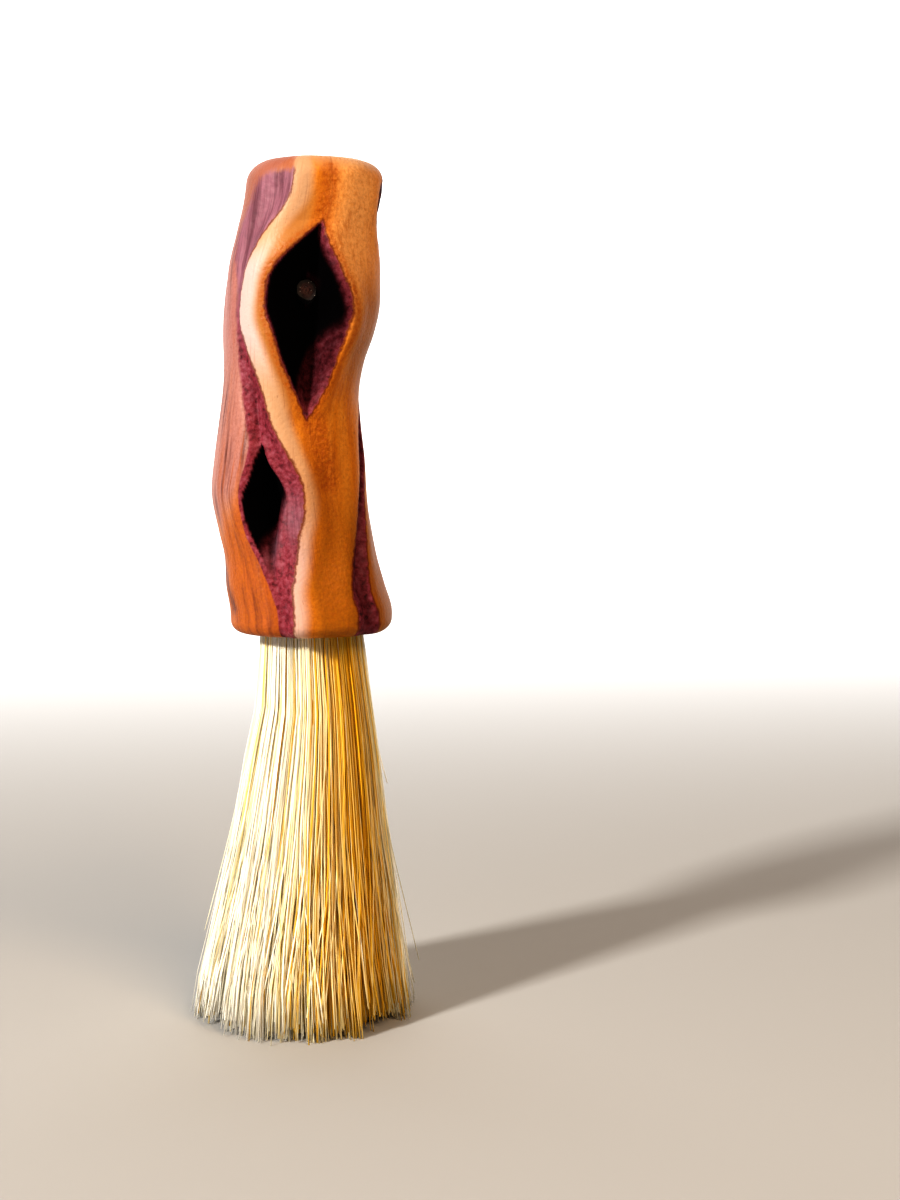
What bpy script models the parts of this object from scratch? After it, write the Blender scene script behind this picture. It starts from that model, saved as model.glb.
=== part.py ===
"""A crumb brush: a peeled diamond willow stick with a tuft of stiff plant fibre set in its lower end.

The tuft is bound with cord, glued, and held in a socket bored up into the stick. The brush stands
on the tips of its fibres. Lengths are in metres, +Z is up, and the front is towards -Y.
The origin is on the ground, under the middle of the spread of the fibres.
"""

import math
import random

import bmesh
import bpy
from mathutils import Matrix, Vector

# Driving sizes of the stick
HANDLE_LENGTH = 0.115
STICK_WALL = 0.00545
TOP_ROUND = 0.0052
BOTTOM_ROUND = 0.003
UPPER_DIAMOND_DEPTH = 0.0105
KNOT_HOLE_DEPTH = 0.0085
STRIP_DEPTH = 0.0016
BACK_DIAMOND_DEPTH = 0.006
LIP_HEIGHT = 0.001
LIP_WIDTH = 0.003
DEEP_SLOPE = 0.0082
HOLE_SLOPE = 0.0048
STRIP_SLOPE = 0.0036
LEAST_SLOPE = 0.0006

# Driving sizes of the tuft and of what holds it
FREE_LENGTH = 0.097
NECK_HEIGHT = 0.078
ROOT_RADIUS = 0.0114
NECK_RADIUS = 0.0139
FOOT_RADIUS = 0.0268
STICK_OFFSET = 0.0022
NECK_OFFSET = 0.003
SOCKET_DEPTH = 0.020
BUTT_FLANGE = 0.001
ROOT_INSET = 0.0004
STRAND_FILL = 0.55
TIP_SPREAD = 0.003
TIP_TRIM = 0.0005
CORD_DIAMETER = 0.0008
CORD_GAP = 0.00045
GLUE_THICKNESS = 0.0014
GLUE_FILM = 0.0006
FIT_GAP = 0.0003
MOUTH_CLEARANCE = 0.0005
WELD_DISTANCE = 0.00001

# The dead branch stub that the upper diamond grew round
STUB_RADIUS = 0.0027
STUB_END_RADIUS = 0.0021
STUB_WEAR = 0.0005
STUB_LENGTH = 0.0068
STUB_PROUD = 0.0022
STUB_TILT = 8
STUB_HEIGHT_SHARE = 0.725
STUB_ANGLE = 3

# Counts, the angles in degrees past which shading shows an edge, and the step a slant is read over
STICK_SIDES = 64
STICK_RINGS = 58
END_RINGS = 3
STRANDS = 360
STRAND_SIDES = 3
CORD_TURNS = 4
POINTS_PER_TURN = 24
CORD_BEVEL = 1
SOCKET_SIDES = 48
STUB_SIDES = 14
WORN_SEGMENTS = 2
SHARP_EDGE = 40
HOLLOW_EDGE = 65
SLANT_STEP = 0.01
SEED = 7

GOLDEN_ANGLE = math.pi * (3 - math.sqrt(5))

# What follows from them
CORD_PITCH = CORD_DIAMETER + CORD_GAP
WAIST_LENGTH = CORD_TURNS * CORD_PITCH + CORD_DIAMETER + 2 * FIT_GAP
BUTT_LENGTH = WAIST_LENGTH + 2 * BUTT_FLANGE
BUTT_TOP = FREE_LENGTH + SOCKET_DEPTH - FIT_GAP - GLUE_THICKNESS - FIT_GAP
BUTT_BOTTOM = BUTT_TOP - BUTT_LENGTH
MOUTH_SHARE = (BUTT_BOTTOM - FREE_LENGTH) / (BUTT_BOTTOM - NECK_HEIGHT)
MOUTH_FIBRES = ROOT_RADIUS + (NECK_RADIUS - ROOT_RADIUS) * MOUTH_SHARE
MOUTH_FIBRES *= 1 + STRAND_FILL / math.sqrt(STRANDS)
MOUTH_DRIFT = abs(NECK_OFFSET - STICK_OFFSET) * MOUTH_SHARE
SOCKET_RADIUS = MOUTH_FIBRES + MOUTH_DRIFT + MOUTH_CLEARANCE
STICK_RADIUS = SOCKET_RADIUS + STICK_WALL
BUTT_RADIUS = SOCKET_RADIUS - GLUE_FILM
CORD_WAIST = SOCKET_RADIUS - 2 * FIT_GAP - CORD_DIAMETER

# The stick's middle line and thickness: share of its length from the lower end, then shares of
# STICK_RADIUS: the middle's place to the right and to the back of the socket's axis, and the radius.
STICK_LINE = (
    (0.00, 0.00, 0.00, 1.06),
    (0.05, 0.00, 0.01, 1.07),
    (0.10, -0.07, 0.02, 1.05),
    (0.16, -0.13, 0.03, 1.01),
    (0.22, -0.20, 0.04, 1.01),
    (0.30, -0.28, 0.05, 1.01),
    (0.38, -0.28, 0.04, 0.97),
    (0.45, -0.27, 0.02, 0.92),
    (0.52, -0.24, 0.00, 0.89),
    (0.58, -0.19, -0.02, 0.91),
    (0.64, -0.12, -0.03, 0.97),
    (0.70, -0.07, -0.03, 1.00),
    (0.78, -0.05, -0.02, 0.98),
    (0.85, -0.01, 0.00, 0.92),
    (0.92, 0.07, 0.02, 0.90),
    (1.00, 0.11, 0.03, 0.88),
)

# Hollows in the stick. Each row is a share of the length from the lower end, the hollow's left and
# right edge in degrees from the front, and the share of its full depth there.
UPPER_DIAMOND = (
    (0.455, 15, 15, 0.00),
    (0.49, 8, 23, 0.15),
    (0.53, 0, 32, 0.40),
    (0.59, -12, 41, 0.75),
    (0.64, -21, 46, 0.95),
    (0.68, -28, 47, 1.00),
    (0.72, -29, 43, 1.00),
    (0.76, -26, 37, 0.85),
    (0.81, -12, 25, 0.50),
    (0.875, 11, 11, 0.00),
)
KNOT_HOLE = (
    (0.11, -23, -23, 0.00),
    (0.16, -26, -19, 0.15),
    (0.20, -29, -15, 0.45),
    (0.24, -31, -10, 0.90),
    (0.27, -31, -6, 1.00),
    (0.30, -31, -4, 1.00),
    (0.33, -30, -8, 0.95),
    (0.37, -27, -16, 0.60),
    (0.41, -22, -22, 0.00),
)
LEFT_STRIP = (
    (-0.01, -23, -13, 0.40),
    (0.09, -22, -10, 0.60),
    (0.14, -27, -5, 0.90),
    (0.23, -40, 4, 1.30),
    (0.30, -41, 12, 1.40),
    (0.34, -36, 8, 1.30),
    (0.40, -29, -4, 1.10),
    (0.44, -33, -12, 1.00),
    (0.52, -43, -24, 1.00),
    (0.59, -52, -40, 1.00),
    (0.66, -61, -51, 1.00),
    (0.75, -63, -49, 1.00),
    (0.83, -59, -39, 0.90),
    (0.90, -56, -25, 0.70),
    (0.97, -44, -18, 0.00),
)
RIGHT_STRIP = (
    (-0.01, 35, 64, 0.40),
    (0.09, 34, 58, 0.80),
    (0.15, 40, 60, 1.00),
    (0.21, 49, 62, 1.00),
    (0.27, 58, 69, 1.00),
    (0.33, 66, 78, 1.00),
    (0.41, 71, 88, 0.90),
    (0.50, 86, 86, 0.00),
)
RIGHT_FLANK_DIAMOND = (
    (0.74, 99, 99, 0.00),
    (0.80, 87, 112, 0.50),
    (0.86, 77, 122, 0.80),
    (0.92, 73, 120, 0.70),
    (0.98, 92, 104, 0.00),
)
BACK_LEFT_DIAMOND = (
    (0.43, -127, -127, 0.00),
    (0.50, -140, -116, 0.35),
    (0.58, -152, -108, 0.80),
    (0.66, -160, -102, 1.00),
    (0.72, -158, -106, 0.90),
    (0.80, -147, -120, 0.45),
    (0.86, -132, -132, 0.00),
)
BACK_RIGHT_DIAMOND = (
    (-0.01, 144, 152, 0.15),
    (0.10, 140, 158, 0.20),
    (0.20, 135, 163, 0.45),
    (0.30, 126, 172, 0.90),
    (0.38, 122, 176, 1.00),
    (0.46, 130, 168, 0.80),
    (0.53, 140, 160, 0.40),
    (0.60, 150, 150, 0.00),
)
BACK_STRIP = (
    (0.66, 178, 178, 0.00),
    (0.74, 170, 184, 0.70),
    (0.83, 164, 188, 1.00),
    (0.92, 168, 186, 0.80),
    (1.01, 172, 182, 0.40),
)
HOLLOWS = (
    (UPPER_DIAMOND, UPPER_DIAMOND_DEPTH, DEEP_SLOPE),
    (KNOT_HOLE, KNOT_HOLE_DEPTH, HOLE_SLOPE),
    (LEFT_STRIP, STRIP_DEPTH, STRIP_SLOPE),
    (RIGHT_STRIP, STRIP_DEPTH, STRIP_SLOPE),
    (RIGHT_FLANK_DIAMOND, STRIP_DEPTH, STRIP_SLOPE),
    (BACK_LEFT_DIAMOND, BACK_DIAMOND_DEPTH, DEEP_SLOPE),
    (BACK_RIGHT_DIAMOND, BACK_DIAMOND_DEPTH, DEEP_SLOPE),
    (BACK_STRIP, STRIP_DEPTH, STRIP_SLOPE),
)


def through(rows, column, share):
    """The value of a column of rows at a share of the length, on a smooth line through its rows."""
    if share <= rows[0][0]:
        return rows[0][column]
    if share >= rows[-1][0]:
        return rows[-1][column]
    after = next(i for i, row in enumerate(rows) if row[0] >= share)
    below = rows[after - 1]
    above = rows[after]

    def slope(i):
        before, beyond = rows[max(i - 1, 0)], rows[min(i + 1, len(rows) - 1)]
        return (beyond[column] - before[column]) / (beyond[0] - before[0])

    span = above[0] - below[0]
    t = (share - below[0]) / span
    return (
        (2 * t**3 - 3 * t**2 + 1) * below[column]
        + (t**3 - 2 * t**2 + t) * span * slope(after - 1)
        + (3 * t**2 - 2 * t**3) * above[column]
        + (t**3 - t**2) * span * slope(after)
    )


def edge_at(rows, column, share):
    """A hollow's left or right edge: its angle, and how much longer its slant makes it than upright."""
    low, high = share - SLANT_STEP / 2, share + SLANT_STEP / 2
    turned = math.radians(through(rows, column, high) - through(rows, column, low))
    slant = math.hypot(1, turned * STICK_RADIUS / (SLANT_STEP * HANDLE_LENGTH))
    return through(rows, column, share), slant


def hollow_relief(rows, depth, slope, angle, share):
    """How far a hollow, with its raised lip, moves the stick's surface at an angle in degrees."""
    local_depth = depth * max(through(rows, 3, share), 0.0)
    if not rows[0][0] <= share <= rows[-1][0] or not local_depth:
        return 0.0
    left, left_slant = edge_at(rows, 1, share)
    right, right_slant = edge_at(rows, 2, share)
    middle = (left + right) / 2
    angle = middle + (angle - middle + 180) % 360 - 180
    half_width = math.radians(right - left) * STICK_RADIUS / (left_slant + right_slant)
    from_left = math.radians(angle - left) * STICK_RADIUS / left_slant
    from_right = math.radians(right - angle) * STICK_RADIUS / right_slant
    inside = min(from_left, from_right)
    t = min(max(inside / max(min(slope, half_width), LEAST_SLOPE), 0.0), 1.0)
    lip = LIP_HEIGHT * local_depth / (local_depth + STRIP_DEPTH)
    lip *= math.exp(-(((inside + LIP_WIDTH / 2) / LIP_WIDTH) ** 2))
    return lip - local_depth * t * t * (3 - 2 * t)


def end_inset(share):
    """How far the sanded round at either end draws the stick in."""
    for from_end, radius in ((share, BOTTOM_ROUND), (1 - share, TOP_ROUND)):
        height = from_end * HANDLE_LENGTH
        if height < radius:
            return radius - math.sqrt(radius**2 - (radius - height) ** 2)
    return 0.0


def stick_radius(angle, share):
    """The distance of the stick's surface from its middle line."""
    radius = STICK_RADIUS * through(STICK_LINE, 3, share)
    for rows, depth, slope in HOLLOWS:
        radius += hollow_relief(rows, depth, slope, angle, share)
    return radius - end_inset(share)


def stick_point(angle, share, radius=None):
    """A point of the stick in its own frame: the socket's mouth is its origin, and the front is -Y."""
    if radius is None:
        radius = stick_radius(angle, share)
    turn = math.radians(angle)
    return Vector(
        (
            STICK_RADIUS * through(STICK_LINE, 1, share) + radius * math.sin(turn),
            STICK_RADIUS * through(STICK_LINE, 2, share) - radius * math.cos(turn),
            share * HANDLE_LENGTH,
        )
    )


def ring_shares():
    """Where along the stick its rings of points lie, closer together in the rounds at both ends."""
    rounds = [1 - math.cos(math.pi / 2 * k / END_RINGS) for k in range(END_RINGS + 1)]
    low = [BOTTOM_ROUND * r / HANDLE_LENGTH for r in rounds]
    high = [1 - TOP_ROUND * r / HANDLE_LENGTH for r in reversed(rounds)]
    step = (high[0] - low[-1]) / (STICK_RINGS + 1)
    return low + [low[-1] + step * (k + 1) for k in range(STICK_RINGS)] + high


def new_material(name, colour, roughness):
    material = bpy.data.materials.new(name)
    material.use_nodes = True
    shader = material.node_tree.nodes["Principled BSDF"]
    shader.inputs["Base Color"].default_value = (*colour, 1)
    shader.inputs["Roughness"].default_value = roughness
    shader.inputs["Metallic"].default_value = 0.0
    return material


def new_collection(name):
    collection = bpy.data.collections.new(name)
    bpy.context.scene.collection.children.link(collection)
    return collection


def put(obj, collection, parent, material=None):
    """Moves an object to its collection, under its parent, and gives it its material."""
    for other in list(obj.users_collection):
        other.objects.unlink(obj)
    collection.objects.link(obj)
    obj.parent = parent
    if material:
        obj.data.materials.clear()
        obj.data.materials.append(material)
    return obj


def object_from(bm, name):
    mesh = bpy.data.meshes.new(name)
    bm.to_mesh(mesh)
    bm.free()
    return bpy.data.objects.new(name, mesh)


def mesh_copy_of(curve_object, name):
    """A curve object made a mesh with its end caps welded on, in the curve's own place."""
    bpy.context.view_layer.update()
    graph = bpy.context.evaluated_depsgraph_get()
    mesh = bpy.data.meshes.new_from_object(curve_object.evaluated_get(graph))
    bm = bmesh.new()
    bm.from_mesh(mesh)
    bmesh.ops.remove_doubles(bm, verts=bm.verts, dist=WELD_DISTANCE)
    bm.to_mesh(mesh)
    bm.free()
    made = bpy.data.objects.new(name, mesh)
    made.matrix_world = curve_object.matrix_world
    bpy.data.objects.remove(curve_object)
    return made


def use_helper(obj, helper, collection, operation):
    """Cuts a helper's shape out of an object or joins it on, and leaves the helper out of the render."""
    put(helper, collection, obj.parent)
    helper.hide_render = True
    helper.display_type = "WIRE"
    boolean = obj.modifiers.new(helper.name, "BOOLEAN")
    boolean.operation = operation
    boolean.object = helper


def round_smooth(obj, angle=SHARP_EDGE):
    obj.data.shade_smooth()
    obj.data.set_sharp_from_angle(angle=math.radians(angle))


def make_handle():
    """The willow stick: a cylinder cut into rings, with each point drawn out to the stick's surface."""
    shares = ring_shares()
    bm = bmesh.new()
    bmesh.ops.create_cone(
        bm,
        cap_ends=True,
        segments=STICK_SIDES,
        radius1=STICK_RADIUS,
        radius2=STICK_RADIUS,
        depth=HANDLE_LENGTH,
    )
    upright = [e for e in bm.edges if abs(e.verts[0].co.z - e.verts[1].co.z) > HANDLE_LENGTH / 2]
    bmesh.ops.subdivide_edges(bm, edges=upright, cuts=len(shares) - 2)
    for vertex in bm.verts:
        ring = round((vertex.co.z / HANDLE_LENGTH + 0.5) * (len(shares) - 1))
        angle = math.degrees(math.atan2(vertex.co.x, -vertex.co.y))
        vertex.co = stick_point(angle, shares[ring])
    return object_from(bm, "handle")


def socket_cutter():
    """The flat-ended bore for the tuft. It starts below the stick, so that its mouth is open."""
    bpy.ops.mesh.primitive_cylinder_add(
        vertices=SOCKET_SIDES, radius=SOCKET_RADIUS, depth=2 * SOCKET_DEPTH
    )
    cutter = bpy.context.object
    cutter.name = "socket_cutter"
    return cutter


def stub_matrix():
    """Where the branch stub stands: on the hollow's floor, pointing out of it and a little up."""
    floor = stick_radius(STUB_ANGLE, STUB_HEIGHT_SHARE)
    end = stick_point(STUB_ANGLE, STUB_HEIGHT_SHARE, floor + STUB_PROUD)
    turn = Matrix.Rotation(math.radians(STUB_ANGLE), 4, "Z")
    lean = Matrix.Rotation(math.radians(90 - STUB_TILT), 4, "X")
    return Matrix.Translation(end) @ turn @ lean


def stub_cone(name, more):
    """The stub's tapered shape, its outer end at the origin. more widens and deepens it for its seat."""
    bm = bmesh.new()
    bmesh.ops.create_cone(
        bm,
        cap_ends=True,
        segments=STUB_SIDES,
        radius1=STUB_RADIUS + more,
        radius2=STUB_END_RADIUS + more,
        depth=STUB_LENGTH + more,
        matrix=Matrix.Translation((0, 0, -(STUB_LENGTH + more) / 2)),
    )
    made = object_from(bm, name)
    made.matrix_world = stub_matrix()
    return made


def make_stub():
    """The dead branch's stub, with its worn end rounded over."""
    stub = stub_cone("branch_stub", 0.0)
    worn = stub.modifiers.new("worn_end", "BEVEL")
    worn.width = STUB_WEAR
    worn.segments = WORN_SEGMENTS
    worn.limit_method = "ANGLE"
    return stub


def tuft_section(height):
    """The tuft's middle to the right of the origin, and its radius, at a height above the ground."""
    levels = (
        (BUTT_BOTTOM, STICK_OFFSET, ROOT_RADIUS),
        (NECK_HEIGHT, NECK_OFFSET, NECK_RADIUS),
        (0.0, 0.0, FOOT_RADIUS),
    )
    upper, lower = levels[:2] if height > NECK_HEIGHT else levels[1:]
    t = (upper[0] - height) / (upper[0] - lower[0])
    return upper[1] + (lower[1] - upper[1]) * t, upper[2] + (lower[2] - upper[2]) * t


def strand_place(index, height):
    """The middle of a strand at a height. The strands lie in a spiral that fills the tuft evenly."""
    middle, radius = tuft_section(height)
    out = radius * math.sqrt((index + 0.5) / STRANDS)
    turn = index * GOLDEN_ANGLE
    return Vector((middle + out * math.cos(turn), out * math.sin(turn), height))


def strand_radius(height):
    """A strand stands for a lock of fibres, so it widens as the tuft does."""
    return STRAND_FILL * tuft_section(height)[1] / math.sqrt(STRANDS)


def straight_strand():
    """A three-sided rod with a ring of corners at each of the heights 1, 0 and -1."""
    bm = bmesh.new()
    bmesh.ops.create_cone(
        bm, cap_ends=True, segments=STRAND_SIDES, radius1=1, radius2=1, depth=2
    )
    upright = [e for e in bm.edges if abs(e.verts[0].co.z - e.verts[1].co.z) > 1]
    bmesh.ops.subdivide_edges(bm, edges=upright, cuts=1)
    mesh = bpy.data.meshes.new("strand")
    bm.to_mesh(mesh)
    bm.free()
    return mesh


def add_strand(bm, straight, index, tip_height):
    """One strand, drawn out from a straight one: it bends at the neck, and its tip is cut level."""
    heights = {1: BUTT_BOTTOM + ROOT_INSET, 0: NECK_HEIGHT, -1: tip_height}
    bm.from_mesh(straight)
    bm.verts.ensure_lookup_table()
    for vertex in bm.verts[-len(straight.vertices) :]:
        height = heights[round(vertex.co.z)]
        across = Vector((vertex.co.x, vertex.co.y, 0)) * strand_radius(height)
        across.rotate(Matrix.Rotation(index * GOLDEN_ANGLE, 3, "Z"))
        vertex.co = strand_place(index, height) + across


def make_butt():
    """The glued butt of the tuft: a turned slice with a waist that the binding sits in."""
    profile = (
        (0.0, BUTT_LENGTH),
        (BUTT_RADIUS, BUTT_LENGTH),
        (BUTT_RADIUS, BUTT_LENGTH - BUTT_FLANGE),
        (CORD_WAIST, BUTT_LENGTH - BUTT_FLANGE),
        (CORD_WAIST, BUTT_FLANGE),
        (BUTT_RADIUS, BUTT_FLANGE),
        (BUTT_RADIUS, 0.0),
        (0.0, 0.0),
    )
    mesh = bpy.data.meshes.new("butt")
    edges = [(i, i + 1) for i in range(len(profile) - 1)]
    mesh.from_pydata([(radius, 0.0, height) for radius, height in profile], edges, [])
    butt = bpy.data.objects.new("butt", mesh)
    butt.location = (STICK_OFFSET, 0.0, BUTT_BOTTOM)
    turned = butt.modifiers.new("turned", "SCREW")
    turned.steps = turned.render_steps = SOCKET_SIDES
    turned.use_merge_vertices = True
    turned.merge_threshold = WELD_DISTANCE
    return butt


def make_strands():
    """All the strands. The lowest tips are trimmed to the ground, so they are flat there."""
    random.seed(SEED)
    straight = straight_strand()
    bm = bmesh.new()
    for index in range(STRANDS):
        untrimmed = random.uniform(-TIP_TRIM, TIP_SPREAD)
        add_strand(bm, straight, index, max(untrimmed, 0.0))
    return object_from(bm, "bristle_tuft")


def cord_points():
    """The binding's middle line: a helix round the butt's waist, centred on it."""
    radius = CORD_WAIST + FIT_GAP + CORD_DIAMETER / 2
    start = BUTT_BOTTOM + BUTT_FLANGE + FIT_GAP + CORD_DIAMETER / 2
    count = CORD_TURNS * POINTS_PER_TURN + 1
    points = []
    for k in range(count):
        turn = 2 * math.pi * k / POINTS_PER_TURN
        height = start + CORD_PITCH * k / POINTS_PER_TURN
        points.append(
            Vector((STICK_OFFSET + radius * math.cos(turn), radius * math.sin(turn), height))
        )
    return points


def least_gap(points):
    """The least space between one turn of the binding and another."""
    near = POINTS_PER_TURN // 2
    return min(
        (points[i] - points[j]).length
        for i in range(len(points))
        for j in range(i + near, len(points))
    ) - CORD_DIAMETER


def make_binding():
    """The waxed cord wound round the butt."""
    points = cord_points()
    print(f"binding: least gap to itself {least_gap(points) * 1000:.2f} mm")
    curve = bpy.data.curves.new("binding_cord", "CURVE")
    curve.dimensions = "3D"
    curve.bevel_depth = CORD_DIAMETER / 2
    curve.bevel_resolution = CORD_BEVEL
    curve.use_fill_caps = True
    spline = curve.splines.new("POLY")
    spline.points.add(len(points) - 1)
    for point, place in zip(spline.points, points):
        point.co = (*place, 1)
    route = bpy.data.objects.new("binding_route", curve)
    bpy.context.scene.collection.objects.link(route)
    return mesh_copy_of(route, "binding_cord")


def make_glue_bed():
    """The set glue between the tuft's butt and the end of the socket."""
    bpy.ops.mesh.primitive_cylinder_add(
        vertices=SOCKET_SIDES,
        radius=SOCKET_RADIUS - FIT_GAP,
        depth=GLUE_THICKNESS,
        location=(0, 0, SOCKET_DEPTH - FIT_GAP - GLUE_THICKNESS / 2),
    )
    bed = bpy.context.object
    bed.name = "glue_bed"
    return bed


def main():
    for obj in list(bpy.data.objects):
        bpy.data.objects.remove(obj)
    brush = new_collection("crumb_brush")
    cutters = new_collection("cutters")

    willow = new_material("peeled_willow", (0.62, 0.25, 0.07), 0.38)
    dead_wood = new_material("dead_branch_wood", (0.09, 0.04, 0.03), 0.7)
    fibre = new_material("plant_fibre", (0.86, 0.71, 0.38), 0.55)
    waxed_cord = new_material("waxed_cord", (0.55, 0.42, 0.26), 0.6)
    glue = new_material("set_glue", (0.80, 0.66, 0.38), 0.25)

    stick_base = bpy.data.objects.new("stick_base", None)
    stick_base.location = (STICK_OFFSET, 0.0, FREE_LENGTH)
    brush.objects.link(stick_base)

    handle = put(make_handle(), brush, stick_base, willow)
    use_helper(handle, socket_cutter(), cutters, "DIFFERENCE")
    use_helper(handle, stub_cone("stub_seat_cutter", FIT_GAP), cutters, "DIFFERENCE")
    round_smooth(handle, HOLLOW_EDGE)
    round_smooth(put(make_stub(), brush, stick_base, dead_wood))
    tuft = put(make_strands(), brush, None, fibre)
    use_helper(tuft, make_butt(), cutters, "UNION")
    round_smooth(put(make_binding(), brush, None, waxed_cord))
    put(make_glue_bed(), brush, stick_base, glue)


if __name__ == "__main__":
    main()
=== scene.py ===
"""The look of a crumb brush: a peeled diamond willow stick with a tuft of tampico fibre in its end.

The brush stands on the tips of its fibres. Lengths are in metres unless a name says _mm, +Z is up,
the front of the brush is towards -Y, and every piece is made where the solid model has it.
"""

import logging
import math
from collections.abc import Callable, Sequence
from dataclasses import dataclass, field
from enum import Enum
from functools import partial

import bmesh
import bpy
import numpy as np
from mathutils import Matrix, Vector, noise


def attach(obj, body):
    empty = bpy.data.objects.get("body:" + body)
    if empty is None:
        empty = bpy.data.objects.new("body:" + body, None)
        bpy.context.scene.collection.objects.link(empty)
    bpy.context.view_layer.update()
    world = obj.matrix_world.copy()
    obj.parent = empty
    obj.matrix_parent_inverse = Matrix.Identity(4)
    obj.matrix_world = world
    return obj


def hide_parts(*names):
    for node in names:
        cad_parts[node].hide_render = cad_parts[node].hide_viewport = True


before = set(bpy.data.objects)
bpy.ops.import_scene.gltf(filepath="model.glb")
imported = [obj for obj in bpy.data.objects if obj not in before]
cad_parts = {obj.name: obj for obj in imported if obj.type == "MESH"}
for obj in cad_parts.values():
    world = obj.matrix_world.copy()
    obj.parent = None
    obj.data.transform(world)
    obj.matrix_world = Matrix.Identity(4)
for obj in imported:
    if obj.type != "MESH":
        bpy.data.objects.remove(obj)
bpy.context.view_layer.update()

log = logging.getLogger("crumb_brush")

MM = 0.001
GOLDEN_ANGLE = math.pi * (3 - math.sqrt(5))

Rows = tuple[tuple[float, ...], ...]
Array = np.ndarray
Masks = dict[str, Array]
Piece = bpy.types.Object
Socket = bpy.types.NodeSocket
Value = float | tuple | Socket


def linear(colour: str) -> tuple[float, float, float, float]:
    """Turns an sRGB colour into the linear one that a shader takes.

    Args:
        colour: the colour as six hex digits.

    Returns:
        Red, green, blue and an alpha of 1.
    """
    parts = [int(colour.lstrip("#")[i : i + 2], 16) / 255 for i in (0, 2, 4)]
    return (*[c / 12.92 if c <= 0.04045 else ((c + 0.055) / 1.055) ** 2.4 for c in parts], 1.0)


def feed(made: bpy.types.Node, inputs: dict[str | int, Value]) -> None:
    """Links or sets a node's inputs.

    Args:
        made: the node.
        inputs: for each input, by name or number, the socket that feeds it or its value.
    """
    for key, value in inputs.items():
        if isinstance(value, Socket):
            made.id_data.links.new(value, made.inputs[key])
        else:
            made.inputs[key].default_value = value


def add_node(
    tree: bpy.types.NodeTree,
    kind: str,
    inputs: dict[str | int, Value],
    output: str | int = 0,
    stops: Sequence[tuple[float, str]] = (),
    **settings: object,
) -> Socket:
    """Adds one node to a material.

    Args:
        tree: the material's node tree.
        kind: the node's type name, after the "ShaderNode" that it starts with.
        inputs: for each input, by name or number, the socket that feeds it or its value.
        output: the output that is wanted, by name or number.
        stops: a colour ramp's places and hex colours.
        settings: the node's own properties.

    Returns:
        The output that is wanted.
    """
    made = tree.nodes.new(f"ShaderNode{kind}")
    for name, value in settings.items():
        setattr(made, name, value)
    feed(made, inputs)
    for i, (place, colour) in enumerate(stops):
        stop = made.color_ramp.elements[i] if i < 2 else made.color_ramp.elements.new(place)
        stop.position = place
        stop.color = linear(colour)
    return made.outputs[output]


def new_finish(
    name: str, **constants: float
) -> tuple[bpy.types.Material, Callable[..., Socket], bpy.types.Node]:
    """Starts a material.

    Args:
        name: the material's name.
        constants: its shader's values, with an underscore for each space in an input's name.

    Returns:
        The material, the function that adds a node to it, and its shader.
    """
    material = bpy.data.materials.new(name)
    material.use_nodes = True
    shader = material.node_tree.nodes["Principled BSDF"]
    feed(shader, {key.replace("_", " "): value for key, value in constants.items()})
    return material, partial(add_node, material.node_tree), shader


def deselect() -> None:
    """Leaves nothing selected, so that an operator acts on the piece in hand alone."""
    bpy.ops.object.select_all(action="DESELECT")


def open_piece(name: str) -> Piece:
    """Names a new primitive, puts its place in its mesh and opens it for editing.

    Args:
        name: the piece's name.

    Returns:
        The piece, in edit mode.
    """
    piece = bpy.context.object
    piece.name = name
    bpy.ops.object.transform_apply(location=True, rotation=True, scale=True)
    bpy.ops.object.mode_set(mode="EDIT")
    return piece


def select_where(piece: Piece, kind: str, test: Callable[[object], bool]) -> None:
    """Selects the faces or edges of the piece in edit mode that pass a test.

    Args:
        piece: the piece that is in edit mode.
        kind: EDGE or FACE.
        test: says of one element whether it is wanted.
    """
    bpy.ops.mesh.select_mode(type=kind)
    bpy.ops.mesh.select_all(action="DESELECT")
    bm = bmesh.from_edit_mesh(piece.data)
    for element in {"EDGE": bm.edges, "FACE": bm.faces}[kind]:
        if test(element):
            element.select_set(True)
    bm.select_flush_mode()
    bmesh.update_edit_mesh(piece.data)


def upright(edge: bmesh.types.BMEdge) -> bool:
    """Says whether an edge runs up."""
    return abs(edge.verts[0].co.z - edge.verts[1].co.z) > 1e-4


def ring_cap(count: int, step: float) -> None:
    """Cuts the selected end face into rings, with a point in the middle.

    Args:
        count: how many rings.
        step: how wide each is.
    """
    for _ in range(count):
        bpy.ops.mesh.inset(thickness=step)
    bpy.ops.mesh.poke()


def points_of(piece: Piece) -> Array:
    """Reads a piece's points.

    Args:
        piece: the piece.

    Returns:
        An array of one row of x, y and z for each point.
    """
    flat = np.empty(len(piece.data.vertices) * 3)
    piece.data.vertices.foreach_get("co", flat)
    return flat.reshape(-1, 3)


def move_points(piece: Piece, places: Array) -> None:
    """Puts a piece's points at new places, given as one row of x, y and z for each."""
    piece.data.vertices.foreach_set("co", places.astype(np.float32).ravel())
    piece.data.update()


def write_attribute(piece: Piece, name: str, values: Array) -> None:
    """Stores one number or one vector on each point, for the finish to read.

    Args:
        piece: the piece.
        name: the attribute's name.
        values: one number, or one row of three, for each point.
    """
    kind, part = ("FLOAT", "value") if values.ndim == 1 else ("FLOAT_VECTOR", "vector")
    layer = piece.data.attributes.new(name, kind, "POINT")
    layer.data.foreach_set(part, values.astype(np.float32).ravel())


def soft_step(value: Array, low: float, high: float) -> Array:
    """Goes smoothly from 0 at low to 1 at high."""
    t = np.clip((value - low) / (high - low), 0.0, 1.0)
    return t * t * (3 - 2 * t)


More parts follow.
